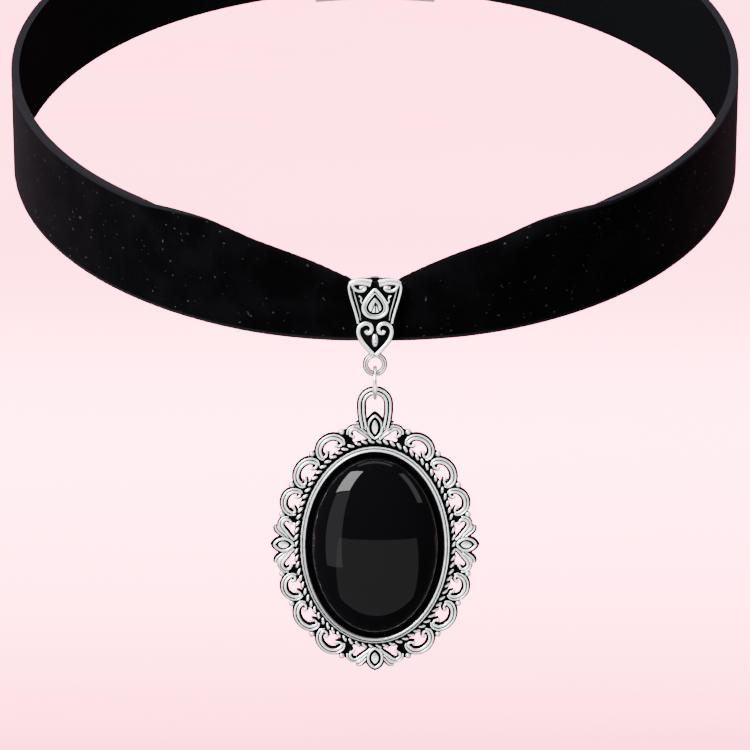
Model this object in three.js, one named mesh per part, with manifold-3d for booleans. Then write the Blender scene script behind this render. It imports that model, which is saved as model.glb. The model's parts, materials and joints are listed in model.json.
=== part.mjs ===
// Choker necklace: black velvet ribbon, cast filigree bail, jump ring and an oval lace-edge
// pendant with a black cabochon. Millimetres, +Z up, the wearer faces -Y.
// The origin is the centre of the ribbon's ring, on the axis of the neck.

import * as THREE from 'three';
import { mergeVertices } from 'three/addons/utils/BufferGeometryUtils.js';
import Module from 'manifold-3d';

const wasm = await Module();
wasm.setup();

// Ribbon
const RING_HALF_WIDTH = 52.3;
const RING_HALF_DEPTH = 53.4;
const NECK_LEAN = 22.5;
const RIBBON_WIDTH = 16;
const RIBBON_THICKNESS = 1.2;
const GATHERED_HEIGHT = 8.1;
const GATHER_HALF_LENGTH = 2.9;
const GATHER_REACH = 30;
const PINCH_SHARE = 0.30;
const PINCH_FADE = 1.0;
const FOLD_RADIUS = 1.1;
const CURL_RADIUS = 4.3;

// Clearances
const CLEARANCE = 0.3;
const LINK_CLEARANCE = 0.2;

// Bail
const BAIL_WIDTH = 7.86;
const BAIL_PLATE = 0.7;
const BAIL_RELIEF = 0.5;
const BAIL_TOP_WALL = 0.63;
const BAIL_BOTTOM_WALL = 0.7;
const BAIL_NECK = 0.95;
const STRAP_THICKNESS = 0.8;
const STRAP_TOP_WIDTH = 4.8;
const STRAP_BOTTOM_WIDTH = 2.4;
const BAIL_RING_DIAMETER = 3.4;
const BAIL_RING_WIRE = 0.7;

// Jump ring
const JUMP_RING_DIAMETER = 4.9;
const JUMP_RING_WIRE = 0.62;

// Cabochon
const STONE_WIDTH = 18;
const STONE_LENGTH = 25;
const STONE_GIRDLE = 0.9;
const STONE_DOME = 4.2;

// Pendant setting, heights counted from its flat back
const STONE_GAP = 0.75;
const BEZEL_WALL = 0.75;
const BEZEL_HEIGHT = 2.4;
const BACK_PLATE = 0.8;
const ROPE_WIDTH = 0.66;
const ROPE_RISE = 0.6;
const ROPE_STRANDS = 82;
const LACE_THICKNESS = 1.3;
const WEB_THICKNESS = 0.7;
const SCROLL_DEPTH = 2.7;
const SCROLL_BAND = 0.75;
const BEAD_DIAMETER = 0.9;
const BEAD_REACH = 2.05;
const HALF_SCROLL_LENGTH = 3.75;
const HALF_SCROLL_BAND = 0.64;
const SIDE_MARQUISE_WIDTH = 2.35;
const SIDE_MARQUISE_LENGTH = 3.85;
const END_MARQUISE_WIDTH = 2.65;
const TOP_MARQUISE_LENGTH = 4.4;
const BOTTOM_MARQUISE_LENGTH = 3.9;
const MARQUISE_RIM = 0.42;
const MARQUISE_GROOVE = 0.25;
const LOOP_WIDTH = 5;
const LOOP_BAND = 1.2;
const LOOP_DEPTH = 1.2;
const LOOP_LEG = 3.3;
const LOOP_FORWARD = 1.55;
const LOOP_RISE = 6.39;

// Clasp
const CLASP_BAR_LENGTH = 8;
const CLASP_BAR_HEIGHT = 4;
const CLASP_CLAMP_LENGTH = 4.5;
const CLASP_WALL = 0.6;

const SIDES_OF_LINK_WIRE = 6;
const OVAL_SEGMENTS = 48;
const HALF_TURN = Math.PI;
const FULL_TURN = 2 * Math.PI;
const LEAN = THREE.MathUtils.degToRad(NECK_LEAN);

// Materials
const velvet = new THREE.MeshStandardMaterial({ color: 0x0a0a0c, roughness: 0.95, metalness: 0 });
const silver = new THREE.MeshStandardMaterial({ color: 0xc9c9cc, roughness: 0.28, metalness: 1 });
const wire = new THREE.MeshStandardMaterial({ color: 0xb9b9bd, roughness: 0.2, metalness: 1 });
const stone = new THREE.MeshStandardMaterial({ color: 0x060507, roughness: 0.05, metalness: 0 });

// Closed mesh to solid and back
function toSolid(geometry) {
  const bare = geometry.clone();
  bare.deleteAttribute('normal');
  bare.deleteAttribute('uv');
  const welded = mergeVertices(bare, 1e-5);
  const mesh = new wasm.Mesh({
    numProp: 3,
    vertProperties: new Float32Array(welded.attributes.position.array),
    triVerts: new Uint32Array(welded.index.array),
  });
  mesh.merge();
  return new wasm.Manifold(mesh);
}

function toGeometry(solid) {
  const mesh = solid.getMesh();
  const geometry = new THREE.BufferGeometry();
  geometry.setAttribute('position', new THREE.BufferAttribute(new Float32Array(mesh.vertProperties), 3));
  geometry.setIndex(new THREE.BufferAttribute(new Uint32Array(mesh.triVerts), 1));
  geometry.computeVertexNormals();
  return geometry;
}

function fuse(geometries) {
  return geometries.map(toSolid).reduce((whole, piece) => whole.add(piece));
}

// Skin through rings of points that turn counter-clockwise about the way they travel
function loft(rings, closed, capFaces) {
  const count = rings[0].length;
  const positions = rings.flat().flatMap((point) => point.toArray());
  const faces = [];
  const spans = closed ? rings.length : rings.length - 1;
  for (let i = 0; i < spans; i += 1) {
    const here = i * count;
    const next = ((i + 1) % rings.length) * count;
    for (let j = 0; j < count; j += 1) {
      const k = (j + 1) % count;
      faces.push(here + j, here + k, next + k);
      faces.push(here + j, next + k, next + j);
    }
  }
  if (!closed) {
    const last = (rings.length - 1) * count;
    for (const [a, b, c] of capFaces(count)) {
      faces.push(a, c, b);
      faces.push(last + a, last + b, last + c);
    }
  }
  const geometry = new THREE.BufferGeometry();
  geometry.setAttribute('position', new THREE.Float32BufferAttribute(positions, 3));
  geometry.setIndex(faces);
  geometry.computeVertexNormals();
  return geometry;
}

// End cap of a convex ring
function fanCap(count) {
  const faces = [];
  for (let i = 1; i < count - 1; i += 1) {
    faces.push([0, i, i + 1]);
  }
  return faces;
}

// End cap of a thin bent wall, whose ring runs up one face and down the other
function wallCap(count) {
  const faces = [];
  for (let i = 0; i < count / 2 - 1; i += 1) {
    const far = count - 1 - i;
    faces.push([i, i + 1, far - 1]);
    faces.push([i, far - 1, far]);
  }
  return faces;
}

// Flat piece with its shape in X and Z, its back at one height and its front at another.
// Heights count towards the viewer, that is towards -Y.
function slab(shape, back, front, curveSegments = 12) {
  const geometry = new THREE.ExtrudeGeometry(shape, {
    depth: front - back,
    bevelEnabled: false,
    curveSegments,
  });
  geometry.rotateX(HALF_TURN / 2);
  geometry.translate(0, -back, 0);
  return geometry;
}

// Band of a varying width along a line, with round ends
function band(line, halfWidthAt, capSteps = 2) {
  const last = line.length - 1;
  const left = [];
  const right = [];
  const headings = [];
  line.forEach((point, i) => {
    const ahead = line[Math.min(i + 1, last)];
    const behind = line[Math.max(i - 1, 0)];
    const along = ahead.clone().sub(behind).normalize();
    const side = new THREE.Vector2(-along.y, along.x).multiplyScalar(halfWidthAt(i / last));
    headings.push(side);
    left.push(point.clone().add(side));
    right.push(point.clone().sub(side));
  });
  const cap = (point, side) => {
    const points = [];
    for (let i = 1; i < capSteps; i += 1) {
      const turned = side.clone().rotateAround(new THREE.Vector2(), -HALF_TURN * i / capSteps);
      points.push(point.clone().add(turned));
    }
    return points;
  };
  const finish = cap(line[last], headings[last]);
  const start = cap(line[0], headings[0].clone().negate());
  return new THREE.Shape([...left, ...finish, ...right.reverse(), ...start]);
}

// Pointed oval between two round arcs, long in Y
function marquise(width, length, steps = 6) {
  const rise = width / 2;
  const reach = length / 2;
  const radius = (rise * rise + reach * reach) / (2 * rise);
  const opening = Math.asin(reach / radius);
  const points = [];
  for (const side of [1, -1]) {
    for (let i = 0; i < steps; i += 1) {
      const angle = opening * (2 * i / steps - 1);
      const x = radius * Math.cos(angle) - (radius - rise);
      points.push(new THREE.Vector2(side * x, side * radius * Math.sin(angle)));
    }
  }
  return points;
}

function ellipseShape(halfWidth, halfHeight) {
  const shape = new THREE.Shape();
  shape.absellipse(0, 0, halfWidth, halfHeight, 0, FULL_TURN);
  return shape;
}

// Ribbon ring
const neckAxis = new THREE.Vector3(0, -Math.sin(LEAN), Math.cos(LEAN));

const meanRadius = (RING_HALF_WIDTH + RING_HALF_DEPTH) / 2;

function ringPoint(angle) {
  const depth = -RING_HALF_DEPTH * Math.cos(angle);
  return new THREE.Vector3(
    RING_HALF_WIDTH * Math.sin(angle),
    depth * Math.cos(LEAN),
    depth * Math.sin(LEAN),
  );
}

function ringHeading(angle) {
  const nudge = 0.001;
  return ringPoint(angle + nudge).sub(ringPoint(angle - nudge)).normalize();
}

// Length of ribbon between the bail and a place beside it
function pastBail(angle) {
  return Math.max(0, Math.abs(angle) * meanRadius - GATHER_HALF_LENGTH);
}

// The bail's hold on the ribbon, 1 in the bail and fading slowly to the sides
function holdAt(angle) {
  return Math.max(0, 1 - pastBail(angle) / (GATHER_REACH - GATHER_HALF_LENGTH)) ** 1.2;
}

// How strongly the ribbon is gathered: 1 in the bail, a sharp pinch beside it, then a long fade
function gatherAt(angle) {
  const pinch = Math.exp(-pastBail(angle) / PINCH_FADE);
  return Math.max(PINCH_SHARE * pinch + (1 - PINCH_SHARE) * holdAt(angle), 1e-4);
}

// Middle line of the ribbon's section: up from the lower edge, over a bend and down behind.
// The bend is a tight fold in the bail and a soft curl beside it.
// Each row has the height, the depth and the direction in which the outer face looks.
function ribbonSection(angle) {
  const gather = gatherAt(angle);
  const turn = HALF_TURN * Math.sqrt(gather) * (0.8 + 0.2 * gather ** 2);
  const radius = FOLD_RADIUS + (CURL_RADIUS - FOLD_RADIUS) * Math.sqrt(1 - gather);
  const gathered = GATHERED_HEIGHT - RIBBON_THICKNESS / 2;
  const height = RIBBON_WIDTH - (RIBBON_WIDTH - gathered) * gather;
  const tucked = RIBBON_WIDTH - height;
  const tail = turn > HALF_TURN / 2
    ? tucked + radius * (1 - turn)
    : (tucked - radius * (turn - Math.sin(turn))) / (1 - Math.cos(turn));
  const rise = RIBBON_WIDTH - radius * turn - tail;
  const rows = [{ height: 0, depth: 0, facing: 0 }];
  const arcSteps = 5;
  for (let i = 0; i <= arcSteps; i += 1) {
    const facing = turn * i / arcSteps;
    rows.push({
      height: rise + radius * Math.sin(facing),
      depth: radius * (1 - Math.cos(facing)),
      facing,
    });
  }
  const bend = rows[rows.length - 1];
  rows.push({
    height: bend.height + tail * Math.cos(turn),
    depth: bend.depth + tail * Math.sin(turn),
    facing: turn,
  });
  return rows;
}

function ribbonRing(angle) {
  const heading = ringHeading(angle);
  const lean = LEAN * (1 - holdAt(angle));
  const upright = new THREE.Vector3(0, -Math.sin(lean), Math.cos(lean));
  const up = upright.addScaledVector(heading, -upright.dot(heading)).normalize();
  const out = heading.clone().cross(up).normalize();
  const lowerEdge = ringPoint(angle).addScaledVector(neckAxis, -RIBBON_WIDTH / 2);
  const face = (row, side) => {
    const half = side * RIBBON_THICKNESS / 2;
    return lowerEdge.clone()
      .addScaledVector(up, row.height + half * Math.sin(row.facing))
      .addScaledVector(out, -row.depth + half * Math.cos(row.facing));
  };
  const rows = ribbonSection(angle);
  const inner = rows.map((row) => face(row, -1));
  const outer = rows.map((row) => face(row, 1)).reverse();
  return [...outer, ...inner];
}

const claspHalfAngle = (CLASP_BAR_LENGTH / 2 + CLEARANCE) / RING_HALF_WIDTH;
const ribbonEnd = HALF_TURN - claspHalfAngle - CLASP_WALL / RING_HALF_WIDTH;
const clampMouth = ribbonEnd - CLASP_CLAMP_LENGTH / RING_HALF_WIDTH;

function ribbonGeometry() {
  const stepsPerSide = 32;
  const gatherEnd = GATHER_HALF_LENGTH / meanRadius;
  const side = [gatherEnd / 2];
  for (let i = 0; i <= stepsPerSide; i += 1) {
    side.push(gatherEnd + (clampMouth - gatherEnd) * (i / stepsPerSide) ** 2);
  }
  side.push(ribbonEnd);
  const rings = [...side.map((angle) => -angle).reverse(), 0, ...side].map(ribbonRing);
  return loft(rings, false, wallCap);
}

// Round wire bent into a ring in the X and Z plane
function wireRing(diameter, thickness, segments) {
  const half = thickness / 2;
  const profile = new THREE.TorusGeometry(diameter / 2 - half, half, SIDES_OF_LINK_WIRE, segments);
  return profile.rotateX(HALF_TURN / 2);
}

// Bail, with its top at height 0 and the back of its front plate at Y = 0
const foldDepth = 2 * FOLD_RADIUS + RIBBON_THICKNESS;
const openingHeight = GATHERED_HEIGHT + 2 * CLEARANCE;
const openingDepth = foldDepth + 2 * CLEARANCE;
const bailHeight = BAIL_TOP_WALL + openingHeight + BAIL_BOTTOM_WALL + BAIL_NECK;
const bailHalf = BAIL_WIDTH / 2;
const bailRingDrop = bailHeight + BAIL_RING_DIAMETER / 2 - BAIL_RING_WIRE * 0.75;

// Half of the plate's outline: shares of the bail's height and of its half width
const BAIL_OUTLINE = [
  { down: 0.100, half: 0.00 },
  { down: 0.030, half: 0.07 },
  { down: 0.004, half: 0.20 },
  { down: 0.000, half: 0.48 },
  { down: 0.022, half: 0.78 },
  { down: 0.068, half: 0.96 },
  { down: 0.130, half: 1.00 },
  { down: 0.254, half: 0.90 },
  { down: 0.378, half: 0.78 },
  { down: 0.502, half: 0.68 },
  { down: 0.551, half: 0.66 },
  { down: 0.626, half: 0.69 },
  { down: 0.700, half: 0.69 },
  { down: 0.787, half: 0.60 },
  { down: 0.873, half: 0.45 },
  { down: 0.948, half: 0.27 },
  { down: 1.000, half: 0.18 },
];

// Middle lines of the raised bands, in the same shares
const BAIL_RAIL = [
  { down: 0.060, half: 0.82 },
  { down: 0.130, half: 0.91 },
  { down: 0.254, half: 0.81 },
  { down: 0.378, half: 0.69 },
  { down: 0.502, half: 0.59 },
  { down: 0.560, half: 0.56 },
];
const BAIL_HEART = [
  { down: 0.960, half: 0.07 },
  { down: 0.868, half: 0.34 },
  { down: 0.780, half: 0.52 },
  { down: 0.690, half: 0.60 },
  { down: 0.620, half: 0.55 },
  { down: 0.582, half: 0.38 },
  { down: 0.590, half: 0.22 },
  { down: 0.635, half: 0.11 },
  { down: 0.690, half: 0.16 },
  { down: 0.700, half: 0.28 },
];
const BAIL_ROLL = [
  { down: 0.060, half: 0.10 },
  { down: 0.055, half: 0.45 },
  { down: 0.072, half: 0.80 },
];
const TEARDROP = [
  { down: 0.105, half: 0.00 },
  { down: 0.160, half: 0.13 },
  { down: 0.230, half: 0.30 },
  { down: 0.310, half: 0.44 },
  { down: 0.390, half: 0.50 },
  { down: 0.460, half: 0.44 },
  { down: 0.510, half: 0.28 },
  { down: 0.532, half: 0.00 },
];

function bailPoint(row, side) {
  return new THREE.Vector2(side * row.half * bailHalf, -row.down * bailHeight);
}

function mirroredOutline(rows) {
  const left = rows.map((row) => bailPoint(row, -1));
  const right = rows.filter((row) => row.half > 0).map((row) => bailPoint(row, 1)).reverse();
  return [...left, ...right];
}

// The same outline drawn in towards a point inside it
function drawnIn(points, centre, share) {
  return points.map((point) => point.clone().sub(centre).multiplyScalar(share).add(centre));
}

function bailBand(rows, side, width, swell, top) {
  const line = rows.map((row) => bailPoint(row, side));
  const half = (share) => (width / 2) * (share > 0.95 ? swell : 1);
  return slab(band(line, half), BAIL_PLATE / 2, BAIL_PLATE + top);
}

function bailPlate() {
  const pieces = [slab(new THREE.Shape(mirroredOutline(BAIL_OUTLINE)), 0, BAIL_PLATE)];
  const rollDisc = 0.19 * bailHalf;
  for (const side of [1, -1]) {
    pieces.push(bailBand(BAIL_RAIL, side, 0.17 * bailHalf, 1, BAIL_RELIEF));
    pieces.push(bailBand(BAIL_HEART, side, 0.16 * bailHalf, 1.2, BAIL_RELIEF));
    pieces.push(bailBand(BAIL_ROLL, side, 0.29 * bailHalf, 1, 1.2 * BAIL_RELIEF));
    const volute = slab(ellipseShape(rollDisc, rollDisc), BAIL_PLATE / 2, BAIL_PLATE + BAIL_RELIEF, 6);
    volute.translate(side * 0.47 * bailHalf, 0, -0.125 * bailHeight);
    pieces.push(volute);
  }
  const drop = mirroredOutline(TEARDROP);
  const dropCentre = bailPoint({ down: 0.37, half: 0 }, 1);
  const rim = new THREE.Shape(drop);
  rim.holes.push(new THREE.Path(drawnIn(drop, dropCentre, 0.7)));
  pieces.push(slab(rim, BAIL_PLATE / 2, BAIL_PLATE + BAIL_RELIEF));
  const boss = new THREE.Shape(drawnIn(drop, dropCentre, 0.5));
  pieces.push(slab(boss, BAIL_PLATE / 2, BAIL_PLATE + BAIL_RELIEF));
  const seed = slab(ellipseShape(0.13 * bailHalf, 0.09 * bailHeight), BAIL_PLATE / 2, BAIL_PLATE + BAIL_RELIEF, 5);
  seed.translate(0, 0, -0.8 * bailHeight);
  pieces.push(seed);
  return pieces;
}

// Rectangle with round corners on its far side, from the plate's middle back to a depth
function strapOutline(depth, low, high, corner) {
  const near = -BAIL_PLATE / 2;
  const shape = new THREE.Shape();
  shape.moveTo(near, low);
  shape.lineTo(depth - corner, low);
  shape.absarc(depth - corner, low + corner, corner, -HALF_TURN / 2, 0);
  shape.lineTo(depth, high - corner);
  shape.absarc(depth - corner, high - corner, corner, 0, HALF_TURN / 2);
  shape.lineTo(near, high);
  shape.closePath();
  return shape;
}

function bailStrap() {
  const openTop = -BAIL_TOP_WALL;
  const openBottom = openTop - openingHeight;
  const low = openBottom - BAIL_BOTTOM_WALL;
  const reach = openingDepth + STRAP_THICKNESS;
  const outline = strapOutline(reach, low, 0, STRAP_THICKNESS * 2);
  const inside = new THREE.Path([
    new THREE.Vector2(0, openBottom),
    new THREE.Vector2(0, openTop),
    new THREE.Vector2(openingDepth - STRAP_THICKNESS / 2, openTop),
    new THREE.Vector2(openingDepth, openTop - STRAP_THICKNESS / 2),
    new THREE.Vector2(openingDepth, openBottom + STRAP_THICKNESS / 2),
    new THREE.Vector2(openingDepth - STRAP_THICKNESS / 2, openBottom),
  ]);
  outline.holes.push(inside);
  const geometry = new THREE.ExtrudeGeometry(outline, { depth: 1, bevelEnabled: false, curveSegments: 4 });
  const position = geometry.attributes.position;
  for (let i = 0; i < position.count; i += 1) {
    const back = position.getX(i);
    const height = position.getY(i);
    const share = THREE.MathUtils.clamp((height - low) / -low, 0, 1);
    const width = THREE.MathUtils.lerp(STRAP_BOTTOM_WIDTH, STRAP_TOP_WIDTH, share);
    position.setXYZ(i, (position.getZ(i) - 0.5) * width, back, height);
  }
  return geometry;
}

function bailGeometry() {
  const ring = wireRing(BAIL_RING_DIAMETER, BAIL_RING_WIRE, 16);
  ring.translate(0, -BAIL_PLATE, -bailRingDrop);
  return toGeometry(fuse([...bailPlate(), bailStrap(), ring]));
}

// Points of the oval outside the stone's edge by a margin, 0 at +X and turning to +Z
function ovalPoint(angle, margin) {
  return new THREE.Vector2(
    (STONE_WIDTH / 2 + margin) * Math.cos(angle),
    (STONE_LENGTH / 2 + margin) * Math.sin(angle),
  );
}

function ovalShape(margin) {
  const points = [];
  for (let i = 0; i < OVAL_SEGMENTS; i += 1) {
    points.push(ovalPoint(FULL_TURN * i / OVAL_SEGMENTS, margin));
  }
  return new THREE.Shape(points);
}

// Ring with a profile of margins and heights that follows the oval
function ovalRing(profile, segments) {
  const rings = [];
  for (let i = 0; i < segments; i += 1) {
    const angle = FULL_TURN * i / segments;
    rings.push(profile.map((row) => {
      const point = ovalPoint(angle, row.margin);
      return new THREE.Vector3(point.x, -row.height, point.y);
    }));
  }
  return loft(rings, true);
}

const bezelInside = STONE_GAP;
const bezelOutside = bezelInside + BEZEL_WALL;
const ropeMiddle = bezelOutside + ROPE_WIDTH * 0.85;
const laceEdge = ropeMiddle + ROPE_WIDTH / 2;
const loopTop = STONE_LENGTH / 2 + laceEdge + LOOP_RISE;

function bezel() {
  const groove = 0.62;
  return ovalRing([
    { margin: bezelInside, height: BACK_PLATE / 2 },
    { margin: bezelInside, height: BEZEL_HEIGHT * 0.86 },
    { margin: bezelInside + BEZEL_WALL * 0.3, height: BEZEL_HEIGHT },
    { margin: bezelInside + BEZEL_WALL * groove, height: BEZEL_HEIGHT * 0.9 },
    { margin: bezelOutside, height: BEZEL_HEIGHT * 0.72 },
    { margin: bezelOutside, height: BACK_PLATE / 2 },
  ], OVAL_SEGMENTS);
}

// Twisted border: a round section whose slanting rings are thick and thin in turn
function rope() {
  const rings = [];
  const sides = 4;
  const slant = 0.9 * FULL_TURN / ROPE_STRANDS / sides;
  for (let i = 0; i < ROPE_STRANDS * 2; i += 1) {
    const swell = i % 2 ? 0.72 : 1;
    const radius = swell * ROPE_WIDTH / 2;
    const ring = [];
    for (let j = 0; j < sides; j += 1) {
      const around = FULL_TURN * j / sides;
      const angle = HALF_TURN * i / ROPE_STRANDS + slant * Math.cos(around);
      const point = ovalPoint(angle, ropeMiddle + radius * Math.cos(around));
      const height = BACK_PLATE * 0.95 + swell * ROPE_RISE * Math.sin(around);
      ring.push(new THREE.Vector3(point.x, -height, point.y));
    }
    rings.push(ring.reverse());
  }
  return loft(rings, true);
}

// Puts a shape that is drawn outwards along +Y on the lace's inner edge, at an angle of the oval
function laceFrame(angle) {
  const foot = ovalPoint(angle, laceEdge);
  const out = new THREE.Vector2(
    Math.cos(angle) / (STONE_WIDTH / 2 + laceEdge),
    Math.sin(angle) / (STONE_LENGTH / 2 + laceEdge),
  ).normalize();
  return { foot, out, along: new THREE.Vector2(out.y, -out.x) };
}

function onLace(frame, x, y) {
  return frame.foot.clone().addScaledVector(frame.along, x).addScaledVector(frame.out, y);
}

// Arch that opens to the stone, with both ends curled in
function scroll(angle, halfWidth) {
  const frame = laceFrame(angle);
  const half = SCROLL_BAND / 2;
  const curl = 0.5;
  const shoulder = curl + half - 0.04;
  const archHalf = halfWidth - half;
  const archRise = SCROLL_DEPTH - half - shoulder;
  const right = [];
  const curlSteps = 4;
  for (let i = curlSteps; i > 0; i -= 1) {
    const turn = -0.95 * HALF_TURN * i / curlSteps;
    right.push([archHalf - curl + curl * Math.cos(turn), shoulder + curl * Math.sin(turn)]);
  }
  const arch = [];
  const archSteps = 8;
  for (let i = 0; i <= archSteps; i += 1) {
    const turn = HALF_TURN * i / archSteps;
    arch.push([archHalf * Math.cos(turn), shoulder + archRise * Math.sin(turn)]);
  }
  const left = right.map(([x, y]) => [-x, y]).reverse();
  const line = [...right, ...arch, ...left].map(([x, y]) => onLace(frame, x, y));
  const halfAt = (share) => {
    const end = Math.min(share, 1 - share);
    if (end < 0.03) {
      return half * 0.95;
    }
    return end < 0.22 ? half * 0.74 : half;
  };
  return slab(band(line, halfAt), 0, LACE_THICKNESS);
}

// Stem, bend and curled end of the leaf scroll beside a marquise: shares of its length and depth
const HALF_SCROLL_LINE = [
  { along: 0.14, out: 0.02 },
  { along: 0.26, out: 0.20 },
  { along: 0.44, out: 0.38 },
  { along: 0.62, out: 0.60 },
  { along: 0.78, out: 0.68 },
  { along: 0.93, out: 0.56 },
  { along: 0.99, out: 0.34 },
  { along: 0.92, out: 0.14 },
  { along: 0.80, out: 0.14 },
];
const PETAL_LINE = [
  { along: 0.36, out: 0.44 },
  { along: 0.48, out: 0.68 },
  { along: 0.60, out: 0.86 },
  { along: 0.72, out: 0.84 },
];

function halfScroll(angle, side, spread) {
  const frame = laceFrame(angle);
  const place = (row) => onLace(frame, side * row.along * HALF_SCROLL_LENGTH, row.out * SCROLL_DEPTH * spread);
  const half = HALF_SCROLL_BAND / 2;
  const stem = band(HALF_SCROLL_LINE.map(place), (share) => (share > 0.95 ? half * 1.15 : half));
  const petal = band(PETAL_LINE.map(place), (share) => half * (1 + 0.5 * Math.sin(HALF_TURN * share)));
  return [slab(stem, 0, LACE_THICKNESS), slab(petal, 0, LACE_THICKNESS * 0.85)];
}

// Recessed web and the bead on it, between two scrolls
function beadOnWeb(angle) {
  const frame = laceFrame(angle);
  const web = new THREE.Shape([
    onLace(frame, -0.95, -ROPE_WIDTH / 2),
    onLace(frame, 0.95, -ROPE_WIDTH / 2),
    onLace(frame, BEAD_DIAMETER * 0.75, BEAD_REACH * 0.5),
    onLace(frame, BEAD_DIAMETER * 0.62, BEAD_REACH),
    onLace(frame, -BEAD_DIAMETER * 0.62, BEAD_REACH),
    onLace(frame, -BEAD_DIAMETER * 0.75, BEAD_REACH * 0.5),
  ]);
  const centre = onLace(frame, 0, BEAD_REACH);
  const bead = new THREE.SphereGeometry(BEAD_DIAMETER / 2, 8, 4);
  bead.translate(centre.x, -LACE_THICKNESS / 2, centre.y);
  return [slab(web, 0, WEB_THICKNESS), bead];
}

// Pointed oval with a raised rim, a groove and a raised middle
function marquisePieces(angle, width, length, tip) {
  const direction = new THREE.Vector2(Math.cos(angle), Math.sin(angle));
  const centre = direction.clone().multiplyScalar(tip - length / 2);
  const place = (points) => points.map((point) => (
    point.clone().rotateAround(new THREE.Vector2(), angle - HALF_TURN / 2).add(centre)
  ));
  const inset = 2 * MARQUISE_RIM;
  const deeper = inset + 2 * MARQUISE_GROOVE;
  const pointed = length / width;
  const rim = new THREE.Shape(place(marquise(width, length)));
  const hollow = place(marquise(width - inset, length - inset * pointed));
  rim.holes.push(new THREE.Path(hollow));
  const floor = new THREE.Shape(place(marquise(width - inset / 2, length - inset * pointed / 2)));
  const boss = new THREE.Shape(place(marquise(width - deeper, length - deeper * pointed)));
  const top = LACE_THICKNESS + 0.5;
  return [slab(rim, 0, top), slab(floor, 0, WEB_THICKNESS), slab(boss, WEB_THICKNESS / 2, top)];
}

// Loop over the top, its band round the opening for the jump ring
const loopRadius = LOOP_WIDTH / 2 - LOOP_BAND / 2;
const loopCentre = loopTop - (LOOP_WIDTH / 2 - LOOP_BAND);

function pendantLoop() {
  const line = [];
  line.push(new THREE.Vector2(loopRadius * 0.78, loopCentre - LOOP_LEG));
  line.push(new THREE.Vector2(loopRadius * 0.94, loopCentre - LOOP_LEG / 2));
  const steps = 12;
  for (let i = 0; i <= steps; i += 1) {
    const turn = HALF_TURN * i / steps;
    line.push(new THREE.Vector2(loopRadius * Math.cos(turn), loopCentre + loopRadius * Math.sin(turn)));
  }
  line.push(new THREE.Vector2(-loopRadius * 0.94, loopCentre - LOOP_LEG / 2));
  line.push(new THREE.Vector2(-loopRadius * 0.78, loopCentre - LOOP_LEG));
  const sides = 8;
  const last = line.length - 1;
  const rings = line.map((point, i) => {
    const along = line[Math.min(i + 1, last)].clone().sub(line[Math.max(i - 1, 0)]).normalize();
    const ring = [];
    for (let j = 0; j < sides; j += 1) {
      const around = FULL_TURN * (j + 0.5) / sides;
      const across = (LOOP_BAND / 2) * Math.cos(around);
      const deep = (LOOP_DEPTH / 2) * Math.sin(around);
      ring.push(new THREE.Vector3(
        point.x - along.y * across,
        -LOOP_FORWARD - deep,
        point.y + along.x * across,
      ));
    }
    return ring;
  });
  return loft(rings, false, fanCap);
}

const BEAD_ANGLES = [14.8, 30.5, 50, 70.5];

function settingGeometry() {
  const pieces = [];
  pieces.push(slab(ovalShape(laceEdge), 0, BACK_PLATE));
  pieces.push(bezel(), rope(), pendantLoop());
  const quarters = [[1, 0], [-1, HALF_TURN], [1, HALF_TURN], [-1, FULL_TURN]];
  for (const [turn, from] of quarters) {
    const beads = BEAD_ANGLES.map((degrees) => from + turn * THREE.MathUtils.degToRad(degrees));
    beads.forEach((angle) => pieces.push(...beadOnWeb(angle)));
    for (let i = 1; i < beads.length; i += 1) {
      const apart = ovalPoint(beads[i], laceEdge + 1).distanceTo(ovalPoint(beads[i - 1], laceEdge + 1));
      pieces.push(scroll((beads[i] + beads[i - 1]) / 2, apart * 0.475));
    }
  }
  for (const side of [1, -1]) {
    for (const angle of [0, HALF_TURN]) {
      pieces.push(...halfScroll(angle, side, 1));
    }
    for (const angle of [HALF_TURN / 2, -HALF_TURN / 2]) {
      pieces.push(...halfScroll(angle, side, 0.9));
    }
  }
  const sideTip = STONE_WIDTH / 2 + laceEdge + SIDE_MARQUISE_LENGTH * 0.87;
  const endFoot = STONE_LENGTH / 2 + laceEdge;
  pieces.push(...marquisePieces(0, SIDE_MARQUISE_WIDTH, SIDE_MARQUISE_LENGTH, sideTip));
  pieces.push(...marquisePieces(HALF_TURN, SIDE_MARQUISE_WIDTH, SIDE_MARQUISE_LENGTH, sideTip));
  pieces.push(...marquisePieces(
    HALF_TURN / 2, END_MARQUISE_WIDTH, TOP_MARQUISE_LENGTH, endFoot + TOP_MARQUISE_LENGTH * 0.9));
  pieces.push(...marquisePieces(
    -HALF_TURN / 2, END_MARQUISE_WIDTH, BOTTOM_MARQUISE_LENGTH, endFoot + BOTTOM_MARQUISE_LENGTH * 0.82));
  return toGeometry(fuse(pieces));
}

// Domed oval stone with a flat base
function cabochonGeometry() {
  const rows = [
    { share: 0.985, height: 0 },
    { share: 1, height: STONE_GIRDLE * 0.3 },
    { share: 1, height: STONE_GIRDLE },
  ];
  const steps = 7;
  for (let i = 1; i < steps; i += 1) {
    const turn = (HALF_TURN / 2) * i / steps;
    rows.push({ share: Math.cos(turn) ** 0.9, height: STONE_GIRDLE + STONE_DOME * Math.sin(turn) });
  }
  const profile = rows.map((row) => new THREE.Vector2(row.share, row.height));
  profile.unshift(new THREE.Vector2(0, 0));
  profile.push(new THREE.Vector2(0, STONE_GIRDLE + STONE_DOME));
  const geometry = new THREE.LatheGeometry(profile, 40);
  geometry.scale(STONE_WIDTH / 2, 1, STONE_LENGTH / 2);
  return geometry.rotateX(HALF_TURN);
}

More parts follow.
